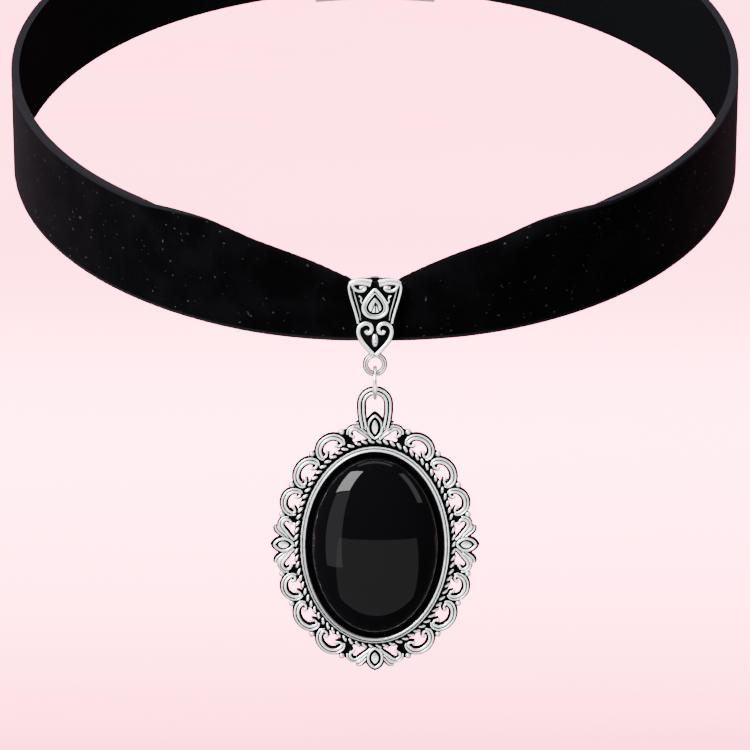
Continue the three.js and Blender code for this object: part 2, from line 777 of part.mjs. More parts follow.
// Clasp: a clamp on each end of the ribbon and the bar that joins them
function clamp(side) {
  const mouth = ringPoint(side * clampMouth);
  const end = ringPoint(side * ribbonEnd);
  const heading = end.clone().sub(mouth).normalize();
  const outwards = heading.clone().multiplyScalar(side).cross(neckAxis).normalize();
  const frame = new THREE.Matrix4().makeBasis(heading.clone().multiplyScalar(side), outwards.clone().negate(), neckAxis);
  const long = mouth.distanceTo(end) + CLEARANCE + CLASP_WALL;
  const outer = new THREE.BoxGeometry(
    long, RIBBON_THICKNESS + 2 * (CLEARANCE + CLASP_WALL), RIBBON_WIDTH + 2 * (CLEARANCE + CLASP_WALL));
  const slot = new THREE.BoxGeometry(
    long, RIBBON_THICKNESS + 2 * CLEARANCE, RIBBON_WIDTH + 2 * CLEARANCE);
  slot.translate(-side * CLASP_WALL, 0, 0);
  const centre = mouth.clone().addScaledVector(heading, long / 2);
  const placed = new THREE.Matrix4().makeTranslation(centre.x, centre.y, centre.z).multiply(frame);
  return toSolid(outer.applyMatrix4(placed)).subtract(toSolid(slot.applyMatrix4(placed)));
}

function claspGeometry() {
  const back = ringPoint(HALF_TURN);
  const bar = new THREE.BoxGeometry(CLASP_BAR_LENGTH + 2 * CLASP_WALL, 2 * CLASP_WALL, CLASP_BAR_HEIGHT);
  bar.rotateX(LEAN);
  bar.translate(back.x, back.y, back.z);
  return toGeometry(clamp(1).add(clamp(-1)).add(toSolid(bar)));
}

// Places of the hung pieces, each from the one that carries it
const ribbonFoot = ringPoint(0).addScaledVector(neckAxis, -RIBBON_WIDTH / 2);
const bailBack = ribbonFoot.y - RIBBON_THICKNESS / 2 - CLEARANCE;
const bailTop = ribbonFoot.z + GATHERED_HEIGHT + CLEARANCE + BAIL_TOP_WALL;
const hangPlane = bailBack - BAIL_PLATE;
const bailRingWireHeight = bailTop - bailRingDrop - (BAIL_RING_DIAMETER - BAIL_RING_WIRE) / 2;
const jumpRingRadius = (JUMP_RING_DIAMETER - JUMP_RING_WIRE) / 2;
const jumpRingHeight = bailRingWireHeight + (BAIL_RING_WIRE + JUMP_RING_WIRE) / 2 + LINK_CLEARANCE
  - jumpRingRadius;
const pendantWireHeight = jumpRingHeight - jumpRingRadius;
const loopTopHeight = pendantWireHeight + JUMP_RING_WIRE / 2 + LINK_CLEARANCE;
const pendantHeight = loopTopHeight - loopTop;
const pendantBack = hangPlane + LOOP_FORWARD;

function named(name, geometry, material) {
  const mesh = new THREE.Mesh(geometry, material);
  mesh.name = name;
  return mesh;
}

const choker = new THREE.Group();

const ribbon = named('velvet_ribbon', ribbonGeometry(), velvet);
choker.add(ribbon);

const bail = named('bail', bailGeometry(), silver);
bail.position.set(0, bailBack, bailTop);
choker.add(bail);

const jumpRing = named('jump_ring', wireRing(JUMP_RING_DIAMETER, JUMP_RING_WIRE, 16), wire);
jumpRing.rotation.z = HALF_TURN / 2;
jumpRing.position.set(0, hangPlane, jumpRingHeight);
choker.add(jumpRing);

const pendant = new THREE.Group();
pendant.position.set(0, pendantBack, pendantHeight);
pendant.add(named('pendant_setting', settingGeometry(), silver));
const cabochon = named('cabochon', cabochonGeometry(), stone);
cabochon.position.y = -(BACK_PLATE + CLEARANCE);
pendant.add(cabochon);
choker.add(pendant);

choker.add(named('back_clasp', claspGeometry(), silver));

export default choker;
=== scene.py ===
import json
import math

import bpy
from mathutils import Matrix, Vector

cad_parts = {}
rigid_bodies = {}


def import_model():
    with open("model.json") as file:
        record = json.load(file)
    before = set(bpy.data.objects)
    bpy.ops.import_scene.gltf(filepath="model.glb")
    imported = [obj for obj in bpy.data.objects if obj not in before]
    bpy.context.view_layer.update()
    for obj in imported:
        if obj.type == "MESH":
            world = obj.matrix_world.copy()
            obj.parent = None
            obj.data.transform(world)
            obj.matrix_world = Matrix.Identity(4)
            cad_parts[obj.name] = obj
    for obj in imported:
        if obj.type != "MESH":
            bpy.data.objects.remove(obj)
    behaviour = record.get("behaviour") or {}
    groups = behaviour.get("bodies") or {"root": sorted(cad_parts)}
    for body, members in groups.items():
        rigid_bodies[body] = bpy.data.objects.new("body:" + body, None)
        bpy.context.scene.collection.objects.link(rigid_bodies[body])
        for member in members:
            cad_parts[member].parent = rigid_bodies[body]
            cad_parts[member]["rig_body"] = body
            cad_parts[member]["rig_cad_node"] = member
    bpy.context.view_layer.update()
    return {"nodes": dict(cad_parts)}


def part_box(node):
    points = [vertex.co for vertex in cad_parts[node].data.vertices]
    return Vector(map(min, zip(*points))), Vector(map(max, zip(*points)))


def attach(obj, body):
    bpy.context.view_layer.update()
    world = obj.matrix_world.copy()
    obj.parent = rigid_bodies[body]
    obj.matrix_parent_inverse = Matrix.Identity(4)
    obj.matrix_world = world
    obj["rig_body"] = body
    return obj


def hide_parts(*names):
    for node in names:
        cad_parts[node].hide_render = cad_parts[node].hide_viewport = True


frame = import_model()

MM = 0.001
FULL_TURN = 2 * math.pi
HALF_TURN = math.pi
QUARTER_TURN = math.pi / 2

# Ribbon
NECK_LEAN = math.radians(22.5)
RIBBON_WIDTH = 16 * MM
RIBBON_THICKNESS = 1.2 * MM
PRESSED = 0.96
RING_HALF_WIDTH = 52.3 * MM
RING_HALF_DEPTH = 53.4 * MM
RING_MEAN_RADIUS = (RING_HALF_WIDTH + RING_HALF_DEPTH) / 2
GATHERED_HEIGHT = 8.1 * MM
GATHER_HALF_LENGTH = 2.9 * MM
GATHER_REACH = 33 * MM
LEAST_GATHER = 1e-4
UPRIGHT_REACH = 16 * MM
FOLD_RADIUS = 1.1 * MM
SELVEDGE = 0.45 * MM
# From the middle of the back to each end of the ribbon, in its clamp
RIBBON_END = 4.9 * MM
# Rows along each half of the ribbon and columns across it
RIBBON_ROWS = 150
RIBBON_COLUMNS = 34

# Places read from the frame
stone_low, stone_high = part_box("cabochon")
setting_low, setting_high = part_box("pendant_setting")
bail_low, bail_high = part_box("bail")
ring_low, ring_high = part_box("jump_ring")
OVAL_CENTRE = Vector((0, setting_high.y, (stone_low.z + stone_high.z) / 2))
STONE_HALF_WIDTH = stone_high.x
STONE_HALF_LENGTH = (stone_high.z - stone_low.z) / 2
PENDANT_BACK = setting_high.y

# Bail's plate
BAIL_HALF = bail_high.x
BAIL_HEIGHT = 10.98 * MM
BAIL_BACK = -47.17 * MM
BAIL_PLATE = 0.7 * MM
BAIL_TOP = bail_high.z


# Hands: selecting, joining and copying

def deselect():
    bpy.ops.object.select_all(action="DESELECT")


def focus(*objects):
    """Selects these objects only, the first one active."""
    deselect()
    for obj in objects:
        obj.select_set(True)
    bpy.context.view_layer.objects.active = objects[0]


def editing(obj, select=True):
    """Opens the object in edit mode, with all of it selected or nothing."""
    focus(obj)
    bpy.ops.object.mode_set(mode="EDIT")
    bpy.ops.mesh.select_all(action="SELECT" if select else "DESELECT")


def done():
    bpy.ops.object.mode_set(mode="OBJECT")
    return bpy.context.active_object


def settle(obj):
    """Moves the object's place into its mesh."""
    focus(obj)
    bpy.ops.object.transform_apply(location=True, rotation=True, scale=True)
    return obj


def joined(objects, name):
    """The objects as one, each with its place moved into its mesh first."""
    for obj in objects:
        settle(obj)
    focus(*objects)
    if len(objects) > 1:
        bpy.ops.object.join()
    whole = bpy.context.active_object
    whole.name = name
    whole.data.name = name
    return whole


def copy_of(obj):
    focus(obj)
    bpy.ops.object.duplicate()
    return bpy.context.active_object


def faced_out(obj):
    editing(obj)
    bpy.ops.mesh.normals_make_consistent(inside=False)
    return done()


def smooth(obj, degrees=40):
    focus(obj)
    bpy.ops.object.shade_smooth_by_angle(angle=math.radians(degrees))
    return obj


def apply_modifiers(obj):
    focus(obj)
    for modifier in list(obj.modifiers):
        bpy.ops.object.modifier_apply(modifier=modifier.name)
    return obj


def polish_paint(obj):
    layers = obj.data.attributes
    return (layers.get("polish") or layers.new("polish", "FLOAT", "POINT")).data


def polish(obj, low, high, middle=None):
    """Paints where the polishing reached: 0 below one height, 1 above another.
    With a middle, heights count from it both ways, for wires that are seen from behind too."""
    for vertex, dab in zip(obj.data.vertices, polish_paint(obj)):
        height = -vertex.co.y if middle is None else abs(-vertex.co.y - middle)
        dab.value = min(max((height - low) / (high - low), 0.0), 1.0)
    return obj


def polish_evenly(obj, value):
    """The same polish all over: 1 is bright and 0 is black."""
    for dab in polish_paint(obj):
        dab.value = value
    return obj


# Shapes drawn in the plane of the pendant: x to the right, z up, heights towards the viewer

# How far the polishing reaches down from the top, as shares of the height
BAR_POLISH_LOW = 0.36
BAR_POLISH_HIGH = 0.14
BEAD_POLISH_LOW = 0.72
BEAD_POLISH_HIGH = 0.45


def traced(points):
    """A line drawn from point to point, starting from one vertex."""
    bpy.ops.mesh.primitive_plane_add(size=MM, location=points[0])
    bpy.ops.object.mode_set(mode="EDIT")
    bpy.ops.mesh.merge(type="CENTER")
    for here, there in zip(points, points[1:]):
        bpy.ops.mesh.extrude_region_move(TRANSFORM_OT_translate={"value": there - here})
    return done()


def wire(points, radius, radii=None, closed=False, roundness=4, depth=1.0):
    """A round bar along the points. Radii are shares of the radius, and depth stretches its height."""
    line = traced(points + points[:1] if closed else points)
    if closed:
        editing(line)
        bpy.ops.mesh.remove_doubles(threshold=MM / 1000)
        done()
    focus(line)
    bpy.ops.object.convert(target="CURVE")
    bar = bpy.context.active_object
    bar.data.dimensions = "3D"
    bar.data.bevel_depth = radius
    bar.data.bevel_resolution = roundness
    bar.data.use_fill_caps = not closed
    spline = bar.data.splines[0]
    if radii:
        count = len(spline.points)
        start = bar.matrix_world @ spline.points[0].co.to_3d()
        turned = (start - points[0]).length > (start - points[-1]).length
        for i, point in enumerate(spline.points):
            share = i / (count - 1)
            point.radius = radii(1 - share if turned else share)
    bpy.ops.object.convert(target="MESH")
    bar = bpy.context.active_object
    settle(bar)
    if depth != 1.0:
        editing(bar)
        bpy.ops.transform.resize(value=(1, depth, 1), center_override=points[0])
        done()
    rise = radius * depth
    top = -points[0].y + rise
    polish(bar, top - rise * BAR_POLISH_LOW, top - rise * BAR_POLISH_HIGH)
    return smooth(bar, 70)


def ground(points, radius, radii=None, depth=1.0, closed=False):
    """A bar that stays black: the recessed metal under the ridges."""
    return polish_evenly(wire(points, radius, radii, closed=closed, depth=depth), 0.0)


def plate(outline, back, front, edge=0.0):
    """A flat plate of the outline's shape, with its front edge rounded."""
    sheet = traced([Vector((p.x, -back, p.z)) for p in outline])
    editing(sheet)
    bpy.ops.mesh.edge_face_add()
    bpy.ops.mesh.extrude_region_move(TRANSFORM_OT_translate={"value": (0, back - front, 0)})
    bpy.ops.mesh.select_all(action="SELECT")
    bpy.ops.mesh.normals_make_consistent(inside=False)
    done()
    settle(sheet)
    if edge:
        rounding = sheet.modifiers.new("round edge", "BEVEL")
        rounding.width = edge
        rounding.segments = 2
        rounding.limit_method = "ANGLE"
        rounding.angle_limit = math.radians(50)
        apply_modifiers(sheet)
    return smooth(sheet, 40)


def ball(place, radius, scale=(1, 1, 1), turn=0.0, segments=16, rings=10):
    bpy.ops.mesh.primitive_uv_sphere_add(
        segments=segments, ring_count=rings, radius=radius, location=place)
    bead = bpy.context.active_object
    bead.scale = scale
    bead.rotation_euler = (0, turn, 0)
    settle(bead)
    top = max(-vertex.co.y for vertex in bead.data.vertices)
    rise = top + place[1]
    polish(bead, top - rise * BEAD_POLISH_LOW, top - rise * BEAD_POLISH_HIGH)
    return smooth(bead, 80)


def flat(x, z, height=0.0):
    """A point at a height in front of the pendant's back, in millimetres."""
    return Vector((x * MM, -height * MM, z * MM))


def offset_line(points, distance):
    """The line moved sideways in its plane, to its left. The distance may vary with the share."""
    moved = []
    last = len(points) - 1
    for i, point in enumerate(points):
        ahead = points[min(i + 1, last)]
        behind = points[max(i - 1, 0)]
        along = (ahead - behind).normalized()
        aside = distance(i / last) if callable(distance) else distance
        moved.append(point + Vector((-along.z, 0, along.x)) * aside)
    return moved


def lifted(points, height):
    return [Vector((p.x, -height, p.z)) for p in points]


def between_curls(share):
    """1 on a scroll's arch, fading to 0 towards the curls at its ends."""
    return min(1.0, max(0.0, (min(share, 1 - share) - 0.16) / 0.10))


def rounded_ends(share):
    """Radius of a bar that thins at both its ends."""
    end = min(share, 1 - share)
    return 0.45 if end < 0.02 else 1.0


def smoothed(points, rounds=2):
    """Corner cutting, which keeps both ends."""
    for _ in range(rounds):
        cut = [points[0]]
        for here, there in zip(points, points[1:]):
            cut.append(here.lerp(there, 0.25))
            cut.append(here.lerp(there, 0.75))
        cut.append(points[-1])
        points = cut
    return points


# The pendant's oval: margins are counted from the stone's edge

BEZEL_INSIDE = 0.66 * MM
BEZEL_WALL = 0.84 * MM
BEZEL_HEIGHT = 2.4 * MM
BACK_PLATE = 0.8 * MM
ROPE_WIDTH = 0.66 * MM
ROPE_HEIGHT = 1.0 * MM
ROPE_STRANDS = 82
ROPE_SLANT = math.radians(38)
ROPE_SAMPLES = 2000
BEZEL_OUTSIDE = BEZEL_INSIDE + BEZEL_WALL
ROPE_MIDDLE = BEZEL_OUTSIDE + ROPE_WIDTH * 0.85
LACE_EDGE = ROPE_MIDDLE + ROPE_WIDTH / 2
WEB_THICKNESS = 0.7 * MM
SCROLL_DEPTH = 2.7
SCROLL_BAND = 0.75
SCROLL_HALF = 2.2
# Half width of a scroll as a share of the way from bead to bead
SCROLL_SHARE = 0.475
BEAD_RADIUS = 0.45 * MM
BEAD_REACH = 2.05 * MM
BEAD_ANGLES = [math.radians(a) for a in (14.8, 30.5, 50, 70.5)]
HALF_SCROLL_LENGTH = 3.75

# Heights of the lace's bars and faces over the pendant's back
BED_HEIGHT = 0.55 * MM
RIDGE_HEIGHT = 1.2 * MM
THIN_RIDGE_HEIGHT = 1.15 * MM
PETAL_RIDGE_HEIGHT = 1.1 * MM
MARQUISE_FLOOR = 0.9 * MM
MARQUISE_RIM = 1.35 * MM
MARQUISE_BOSS = 1.75 * MM


def oval_point(angle, margin):
    return Vector((
        (STONE_HALF_WIDTH + margin) * math.cos(angle),
        0,
        (STONE_HALF_LENGTH + margin) * math.sin(angle),
    ))


def oval_ring(profile, segments=144, fill=False):
    """A ring that follows the oval. The profile has margins, heights and polish."""
    bpy.ops.mesh.primitive_circle_add(vertices=segments, radius=MM, rotation=(QUARTER_TURN, 0, 0))
    ring = bpy.context.active_object
    margin, height, _ = profile[0]
    ring.scale = (
        (STONE_HALF_WIDTH + margin) / MM, (STONE_HALF_LENGTH + margin) / MM, 1)
    ring.location = (0, -height, 0)
    settle(ring)
    editing(ring)
    for next_margin, next_height, _ in profile[1:]:
        wide = (STONE_HALF_WIDTH + next_margin) / (STONE_HALF_WIDTH + margin)
        tall = (STONE_HALF_LENGTH + next_margin) / (STONE_HALF_LENGTH + margin)
        bpy.ops.mesh.extrude_edges_move(TRANSFORM_OT_translate={"value": (0, height - next_height, 0)})
        bpy.ops.transform.resize(value=(wide, 1, tall), center_override=(0, 0, 0))
        margin, height = next_margin, next_height
    bpy.ops.mesh.select_all(action="DESELECT")
    bpy.ops.mesh.select_mode(type="EDGE")
    bpy.ops.mesh.select_non_manifold()
    if fill:
        bpy.ops.mesh.fill_holes(sides=0)
    else:
        bpy.ops.mesh.bridge_edge_loops()
    bpy.ops.mesh.select_mode(type="VERT")
    bpy.ops.mesh.select_all(action="SELECT")
    bpy.ops.mesh.normals_make_consistent(inside=False)
    done()
    for i, dab in enumerate(polish_paint(ring)):
        dab.value = profile[i // segments][2]
    return smooth(ring, 35)


def lace_place(angle):
    """Foot on the lace's inner edge and the turn that points +Z outwards there."""
    foot = oval_point(angle, LACE_EDGE)
    out = Vector((
        math.cos(angle) / (STONE_HALF_WIDTH + LACE_EDGE),
        0,
        math.sin(angle) / (STONE_HALF_LENGTH + LACE_EDGE),
    )).normalized()
    return foot, math.atan2(out.x, out.z)


def set_on_lace(obj, angle, wide=1.0, tall=1.0):
    foot, turn = lace_place(angle)
    obj.location = foot
    obj.rotation_euler = (0, turn, 0)
    obj.scale = (wide, 1, tall)
    return obj


def scroll_line():
    """Middle line of a scroll that opens to the stone, its ends curled in, in millimetres."""
    half = SCROLL_BAND / 2
    curl = 0.5
    shoulder = curl + half - 0.04
    arch_half = SCROLL_HALF - half
    arch_rise = SCROLL_DEPTH - half - shoulder
    curl_steps = 9
    right = []
    for i in range(curl_steps, 0, -1):
        turn = -0.95 * HALF_TURN * i / curl_steps
        right.append((arch_half - curl + curl * math.cos(turn), shoulder + curl * math.sin(turn)))
    arch_steps = 18
    arch = []
    for i in range(arch_steps + 1):
        turn = HALF_TURN * i / arch_steps
        arch.append((arch_half * math.cos(turn), shoulder + arch_rise * math.sin(turn)))
    left = [(-x, z) for x, z in reversed(right)]
    return [flat(x, z) for x, z in right + arch + left], curl_steps


def scroll():
    """C-scroll: a black ground, a thick ridge that curls into balls and a thin ridge outside it."""
    line, curl = scroll_line()
    bed = ground(
        lifted(offset_line(line, lambda s: 0.04 * MM * between_curls(s)), BED_HEIGHT),
        0.66 * MM, lambda s: 0.66 + 0.34 * between_curls(s), depth=0.8)
    thick = wire(
        lifted(offset_line(line, lambda s: (0.02 + 0.18 * between_curls(s)) * MM), RIDGE_HEIGHT),
        0.24 * MM, lambda s: 0.92 + 0.08 * between_curls(s), depth=1.2)
    outer = offset_line(line[curl - 4:len(line) - curl + 4], -0.25 * MM)
    thin = wire(lifted(outer, THIN_RIDGE_HEIGHT), 0.17 * MM, rounded_ends, depth=1.6)
    ends = [ball(line[i] + Vector((0, -RIDGE_HEIGHT, 0)), 0.30 * MM) for i in (0, -1)]
    return joined([bed, thick, thin] + ends, "scroll")


HALF_SCROLL_LINE = [
    (0.14, 0.02), (0.26, 0.20), (0.44, 0.38), (0.62, 0.60), (0.78, 0.68),
    (0.93, 0.56), (0.99, 0.34), (0.92, 0.14), (0.80, 0.14),
]
PETAL_LINE = [(0.30, 0.36), (0.44, 0.64), (0.58, 0.86), (0.72, 0.86)]


def half_scroll():
    """Leaf scroll beside a marquise: a stem that bends over and curls in, and a petal outside it."""
    stem = smoothed([flat(x * HALF_SCROLL_LENGTH, z * SCROLL_DEPTH) for x, z in HALF_SCROLL_LINE])
    petal = smoothed([flat(x * HALF_SCROLL_LENGTH, z * SCROLL_DEPTH) for x, z in PETAL_LINE])
    bed = ground(lifted(stem, BED_HEIGHT), 0.57 * MM, depth=0.9)
    ridge = wire(lifted(offset_line(stem, -0.12 * MM), RIDGE_HEIGHT), 0.23 * MM, depth=1.2)
    thin = wire(
        lifted(offset_line(stem[4:-8], 0.26 * MM), THIN_RIDGE_HEIGHT), 0.15 * MM,
        rounded_ends, depth=1.6)
    end = ball(stem[-1] + Vector((0, -RIDGE_HEIGHT, 0)), 0.29 * MM)
    leaf = ground(
        lifted(petal, BED_HEIGHT), 0.54 * MM, lambda s: 0.75 + 0.5 * math.sin(HALF_TURN * s),
        depth=0.9)
    vein = wire(
        lifted(offset_line(petal, 0.24 * MM), PETAL_RIDGE_HEIGHT), 0.15 * MM,
        rounded_ends, depth=1.5)
    rib = wire(
        lifted(offset_line(petal, -0.17 * MM), PETAL_RIDGE_HEIGHT), 0.20 * MM,
        rounded_ends, depth=1.3)
    return joined([bed, ridge, thin, end, leaf, vein, rib], "half scroll")


def bead_on_web():
    """Bead between two scrolls, on the tapered web that carries it."""
    outline = [
        flat(-0.95, -0.33), flat(0.95, -0.33), flat(0.75, 1.07), flat(0.62, 2.15),
        flat(-0.62, 2.15), flat(-0.75, 1.07),
    ]
    web = plate(outline, 0, WEB_THICKNESS)
    bead = ball(Vector((0, -0.88 * MM, BEAD_REACH)), BEAD_RADIUS, scale=(1, 1.1, 1))
    return joined([web, bead], "bead")


def marquise_outline(width, length, steps=14):
    """Two equal arcs that meet in points at the top and bottom."""
    rise = width / 2
    reach = length / 2
    radius = (rise * rise + reach * reach) / (2 * rise)
    opening = math.asin(reach / radius)
    points = []
    for side in (1, -1):
        for i in range(steps):
            angle = opening * (2 * i / steps - 1)
            x = radius * math.cos(angle) - (radius - rise)
            points.append(flat(side * x, side * radius * math.sin(angle)))
    return points


def marquise(width, length, boss_width):
    """Pointed oval, in millimetres: black floor, bright rim and a domed bright middle."""
    floor = plate(marquise_outline(width, length - 0.1), 0, MARQUISE_FLOOR)
    bed = ground(
        lifted(marquise_outline(width - 0.55, length - 0.95), MARQUISE_FLOOR), 0.41 * MM,
        closed=True, depth=1.2)
    rim = wire(
        lifted(marquise_outline(width - 0.66, length - 1.15), MARQUISE_RIM), 0.23 * MM,
        closed=True, depth=1.6)
    boss = plate(
        marquise_outline(boss_width, length - 2.3), 0.5 * MM, MARQUISE_BOSS, edge=0.13 * MM)
    polish(boss, MARQUISE_BOSS - 0.20 * MM, MARQUISE_BOSS - 0.07 * MM)
    return joined([floor, bed, rim, boss], "marquise")


def rope():
    """Twisted border: one slanting strand, copied round the oval at even steps of its length."""
    strand = ball((0, 0, 0), 1, scale=(0.60 * MM, 0.40 * MM, 0.27 * MM), segments=12, rings=8)
    lengths = [0.0]
    for i in range(ROPE_SAMPLES):
        here = oval_point(FULL_TURN * i / ROPE_SAMPLES, ROPE_MIDDLE)
        there = oval_point(FULL_TURN * (i + 1) / ROPE_SAMPLES, ROPE_MIDDLE)
        lengths.append(lengths[-1] + (there - here).length)
    strands = []
    cursor = 0
    for i in range(ROPE_STRANDS):
        wanted = lengths[-1] * i / ROPE_STRANDS
        while lengths[cursor + 1] < wanted:
            cursor += 1
        angle = FULL_TURN * cursor / ROPE_SAMPLES
        twist = copy_of(strand)
        ahead = oval_point(angle + 0.01, ROPE_MIDDLE) - oval_point(angle - 0.01, ROPE_MIDDLE)
        twist.location = oval_point(angle, ROPE_MIDDLE) + Vector((0, -ROPE_HEIGHT, 0))
        twist.rotation_euler = (0, -math.atan2(ahead.z, ahead.x) + ROPE_SLANT, 0)
        strands.append(twist)
    bpy.data.objects.remove(strand)
    cord = joined(strands, "rope")
    bed = oval_ring([
        (ROPE_MIDDLE - 0.28 * MM, 0.6 * MM, 0), (ROPE_MIDDLE - 0.2 * MM, 0.95 * MM, 0),
        (ROPE_MIDDLE + 0.2 * MM, 0.95 * MM, 0), (ROPE_MIDDLE + 0.28 * MM, 0.6 * MM, 0),
    ])
    return joined([cord, bed], "rope")


def bezel():
    """Wall round the stone: a wide bright lip, a black line and a thin ridge outside."""
    shares = [
        (0.00, 0.20, 0), (0.00, 0.78, 0), (0.00, 0.86, 1), (0.10, 0.95, 1), (0.22, 0.99, 1),
        (0.34, 1.00, 1), (0.46, 0.97, 1), (0.54, 0.90, 1), (0.57, 0.86, 0), (0.60, 0.78, 0),
        (0.68, 0.78, 0), (0.71, 0.84, 0), (0.74, 0.87, 1), (0.84, 0.88, 1), (0.93, 0.82, 1),
        (0.95, 0.78, 0), (1.00, 0.68, 0), (1.00, 0.20, 0),
    ]
    profile = [
        (BEZEL_INSIDE + BEZEL_WALL * out, BEZEL_HEIGHT * up, shine) for out, up, shine in shares]
    return oval_ring(profile, segments=192)


def tray():
    """Back plate with its round edge."""
    edge = LACE_EDGE
    return oval_ring([
        (edge - 1.0 * MM, BACK_PLATE, 0), (edge - 0.1 * MM, BACK_PLATE, 0),
        (edge, BACK_PLATE - 0.1 * MM, 0), (edge, 0.12 * MM, 1), (edge - 0.12 * MM, 0.0, 1),
        (edge - 2 * MM, 0.0, 1),
    ], fill=True)


LOOP_WIDTH = 5.0
LOOP_BAND = 1.2
LOOP_LEG = 3.3
LOOP_FORWARD = 1.55
LOOP_RIDGE = 0.22 * MM
LOOP_RIDGE_ASIDE = 0.27 * MM
LOOP_RIDGE_RISE = Vector((0, -0.34 * MM, 0))


def loop():
    """Loop over the top: a dark band with a ridge along each edge."""
    rise = (setting_high.z - OVAL_CENTRE.z) / MM
    radius = (LOOP_WIDTH - LOOP_BAND) / 2
    centre = rise - LOOP_WIDTH / 2
    points = [(radius * 0.78, centre - LOOP_LEG), (radius * 0.9, centre - LOOP_LEG * 0.7),
              (radius * 0.985, centre - LOOP_LEG * 0.35)]
    steps = 24
    for i in range(steps + 1):
        turn = HALF_TURN * i / steps
        points.append((radius * math.cos(turn), centre + radius * math.sin(turn)))
    points += [(-x, z) for x, z in reversed(points[:3])]
    line = [flat(x, z, LOOP_FORWARD) for x, z in points]
    pieces = [ground(line, 0.68 * MM, depth=0.6)]
    for side in (1, -1):
        edge = offset_line(line, side * LOOP_RIDGE_ASIDE)
        front = [p + LOOP_RIDGE_RISE for p in edge]
        pieces.append(wire(front, LOOP_RIDGE, depth=1.3))
        back = [p - LOOP_RIDGE_RISE for p in edge]
        pieces.append(polish_evenly(wire(back, LOOP_RIDGE, roundness=3), 1.0))
    return joined(pieces, "loop")


# Angle, width, length and boss width in millimetres, and the share of the length past the lace's edge
MARQUISES = [
    (0, 2.35, 3.85, 0.95, 0.87),
    (HALF_TURN, 2.35, 3.85, 0.95, 0.87),
    (QUARTER_TURN, 2.65, 4.4, 0.85, 0.90),
    (-QUARTER_TURN, 2.65, 3.9, 1.0, 0.82),
]


def pendant_casting():
    """The whole setting, fused to one piece and put in its place."""
    pieces = [tray(), bezel(), rope(), loop()]
    model_scroll = scroll()
    model_half = half_scroll()
    model_bead = bead_on_web()
    quarters = [(1, 0), (-1, HALF_TURN), (1, HALF_TURN), (-1, FULL_TURN)]
    for turn, start in quarters:
        beads = [start + turn * a for a in BEAD_ANGLES]
        pieces += [set_on_lace(copy_of(model_bead), a) for a in beads]
        for here, there in zip(beads, beads[1:]):
            apart = (oval_point(here, LACE_EDGE + MM) - oval_point(there, LACE_EDGE + MM)).length
            wide = apart * SCROLL_SHARE / (SCROLL_HALF * MM)
            pieces.append(set_on_lace(copy_of(model_scroll), (here + there) / 2, wide))
    for angle, tall in ((0, 1), (HALF_TURN, 1), (QUARTER_TURN, 0.9), (-QUARTER_TURN, 0.9)):
        for side in (1, -1):
            leaf = set_on_lace(copy_of(model_half), angle, side, tall)
            pieces.append(leaf)
    for angle, width, length, boss_width, clear in MARQUISES:
        point = marquise(width, length, boss_width)
        out = Vector((math.cos(angle), 0, math.sin(angle)))
        half_oval = STONE_HALF_LENGTH if abs(angle) == QUARTER_TURN else STONE_HALF_WIDTH
        tip = half_oval + LACE_EDGE + length * clear * MM
        point.location = out * (tip - length / 2 * MM)
        point.rotation_euler = (0, QUARTER_TURN - angle, 0)
        pieces.append(point)
    for model in (model_scroll, model_half, model_bead):
        bpy.data.objects.remove(model)
    casting = joined(pieces, "pendant_casting")
    casting.location = OVAL_CENTRE
    settle(casting)
    return faced_out(casting)


# Stone

GIRDLE = 0.9 * MM


def cabochon():
    """Domed oval stone: a sphere cut at its girdle, its lower half drawn down to a flat base."""
    dome = stone_high.y - stone_low.y - GIRDLE
    bpy.ops.mesh.primitive_uv_sphere_add(
        segments=128, ring_count=64, radius=1, rotation=(QUARTER_TURN, 0, 0))
    gem = bpy.context.active_object
    settle(gem)
    editing(gem)
    bpy.ops.mesh.bisect(
        plane_co=(0, 0, 0), plane_no=(0, 1, 0), clear_outer=True, use_fill=False)
    bpy.ops.mesh.select_all(action="SELECT")
    bpy.ops.transform.resize(
        value=(STONE_HALF_WIDTH, dome, STONE_HALF_LENGTH), center_override=(0, 0, 0))
    bpy.ops.mesh.select_all(action="DESELECT")
    bpy.ops.mesh.select_mode(type="EDGE")
    bpy.ops.mesh.select_non_manifold()
    bpy.ops.mesh.extrude_edges_move(TRANSFORM_OT_translate={"value": (0, GIRDLE * 0.75, 0)})
    bpy.ops.mesh.extrude_edges_move(TRANSFORM_OT_translate={"value": (0, GIRDLE * 0.25, 0)})
    bpy.ops.transform.resize(value=(0.985, 1, 0.985), center_override=(0, 0, 0))
    bpy.ops.mesh.edge_face_add()
    bpy.ops.mesh.select_mode(type="VERT")
    bpy.ops.mesh.select_all(action="SELECT")
    bpy.ops.mesh.normals_make_consistent(inside=False)
    done()
    gem.name = "polished_cabochon"
    gem.location = (0, stone_high.y - GIRDLE, OVAL_CENTRE.z)
    settle(gem)
    return smooth(gem, 40)


# Bail: each row is a share of the plate's height from its top, and a share of its half width

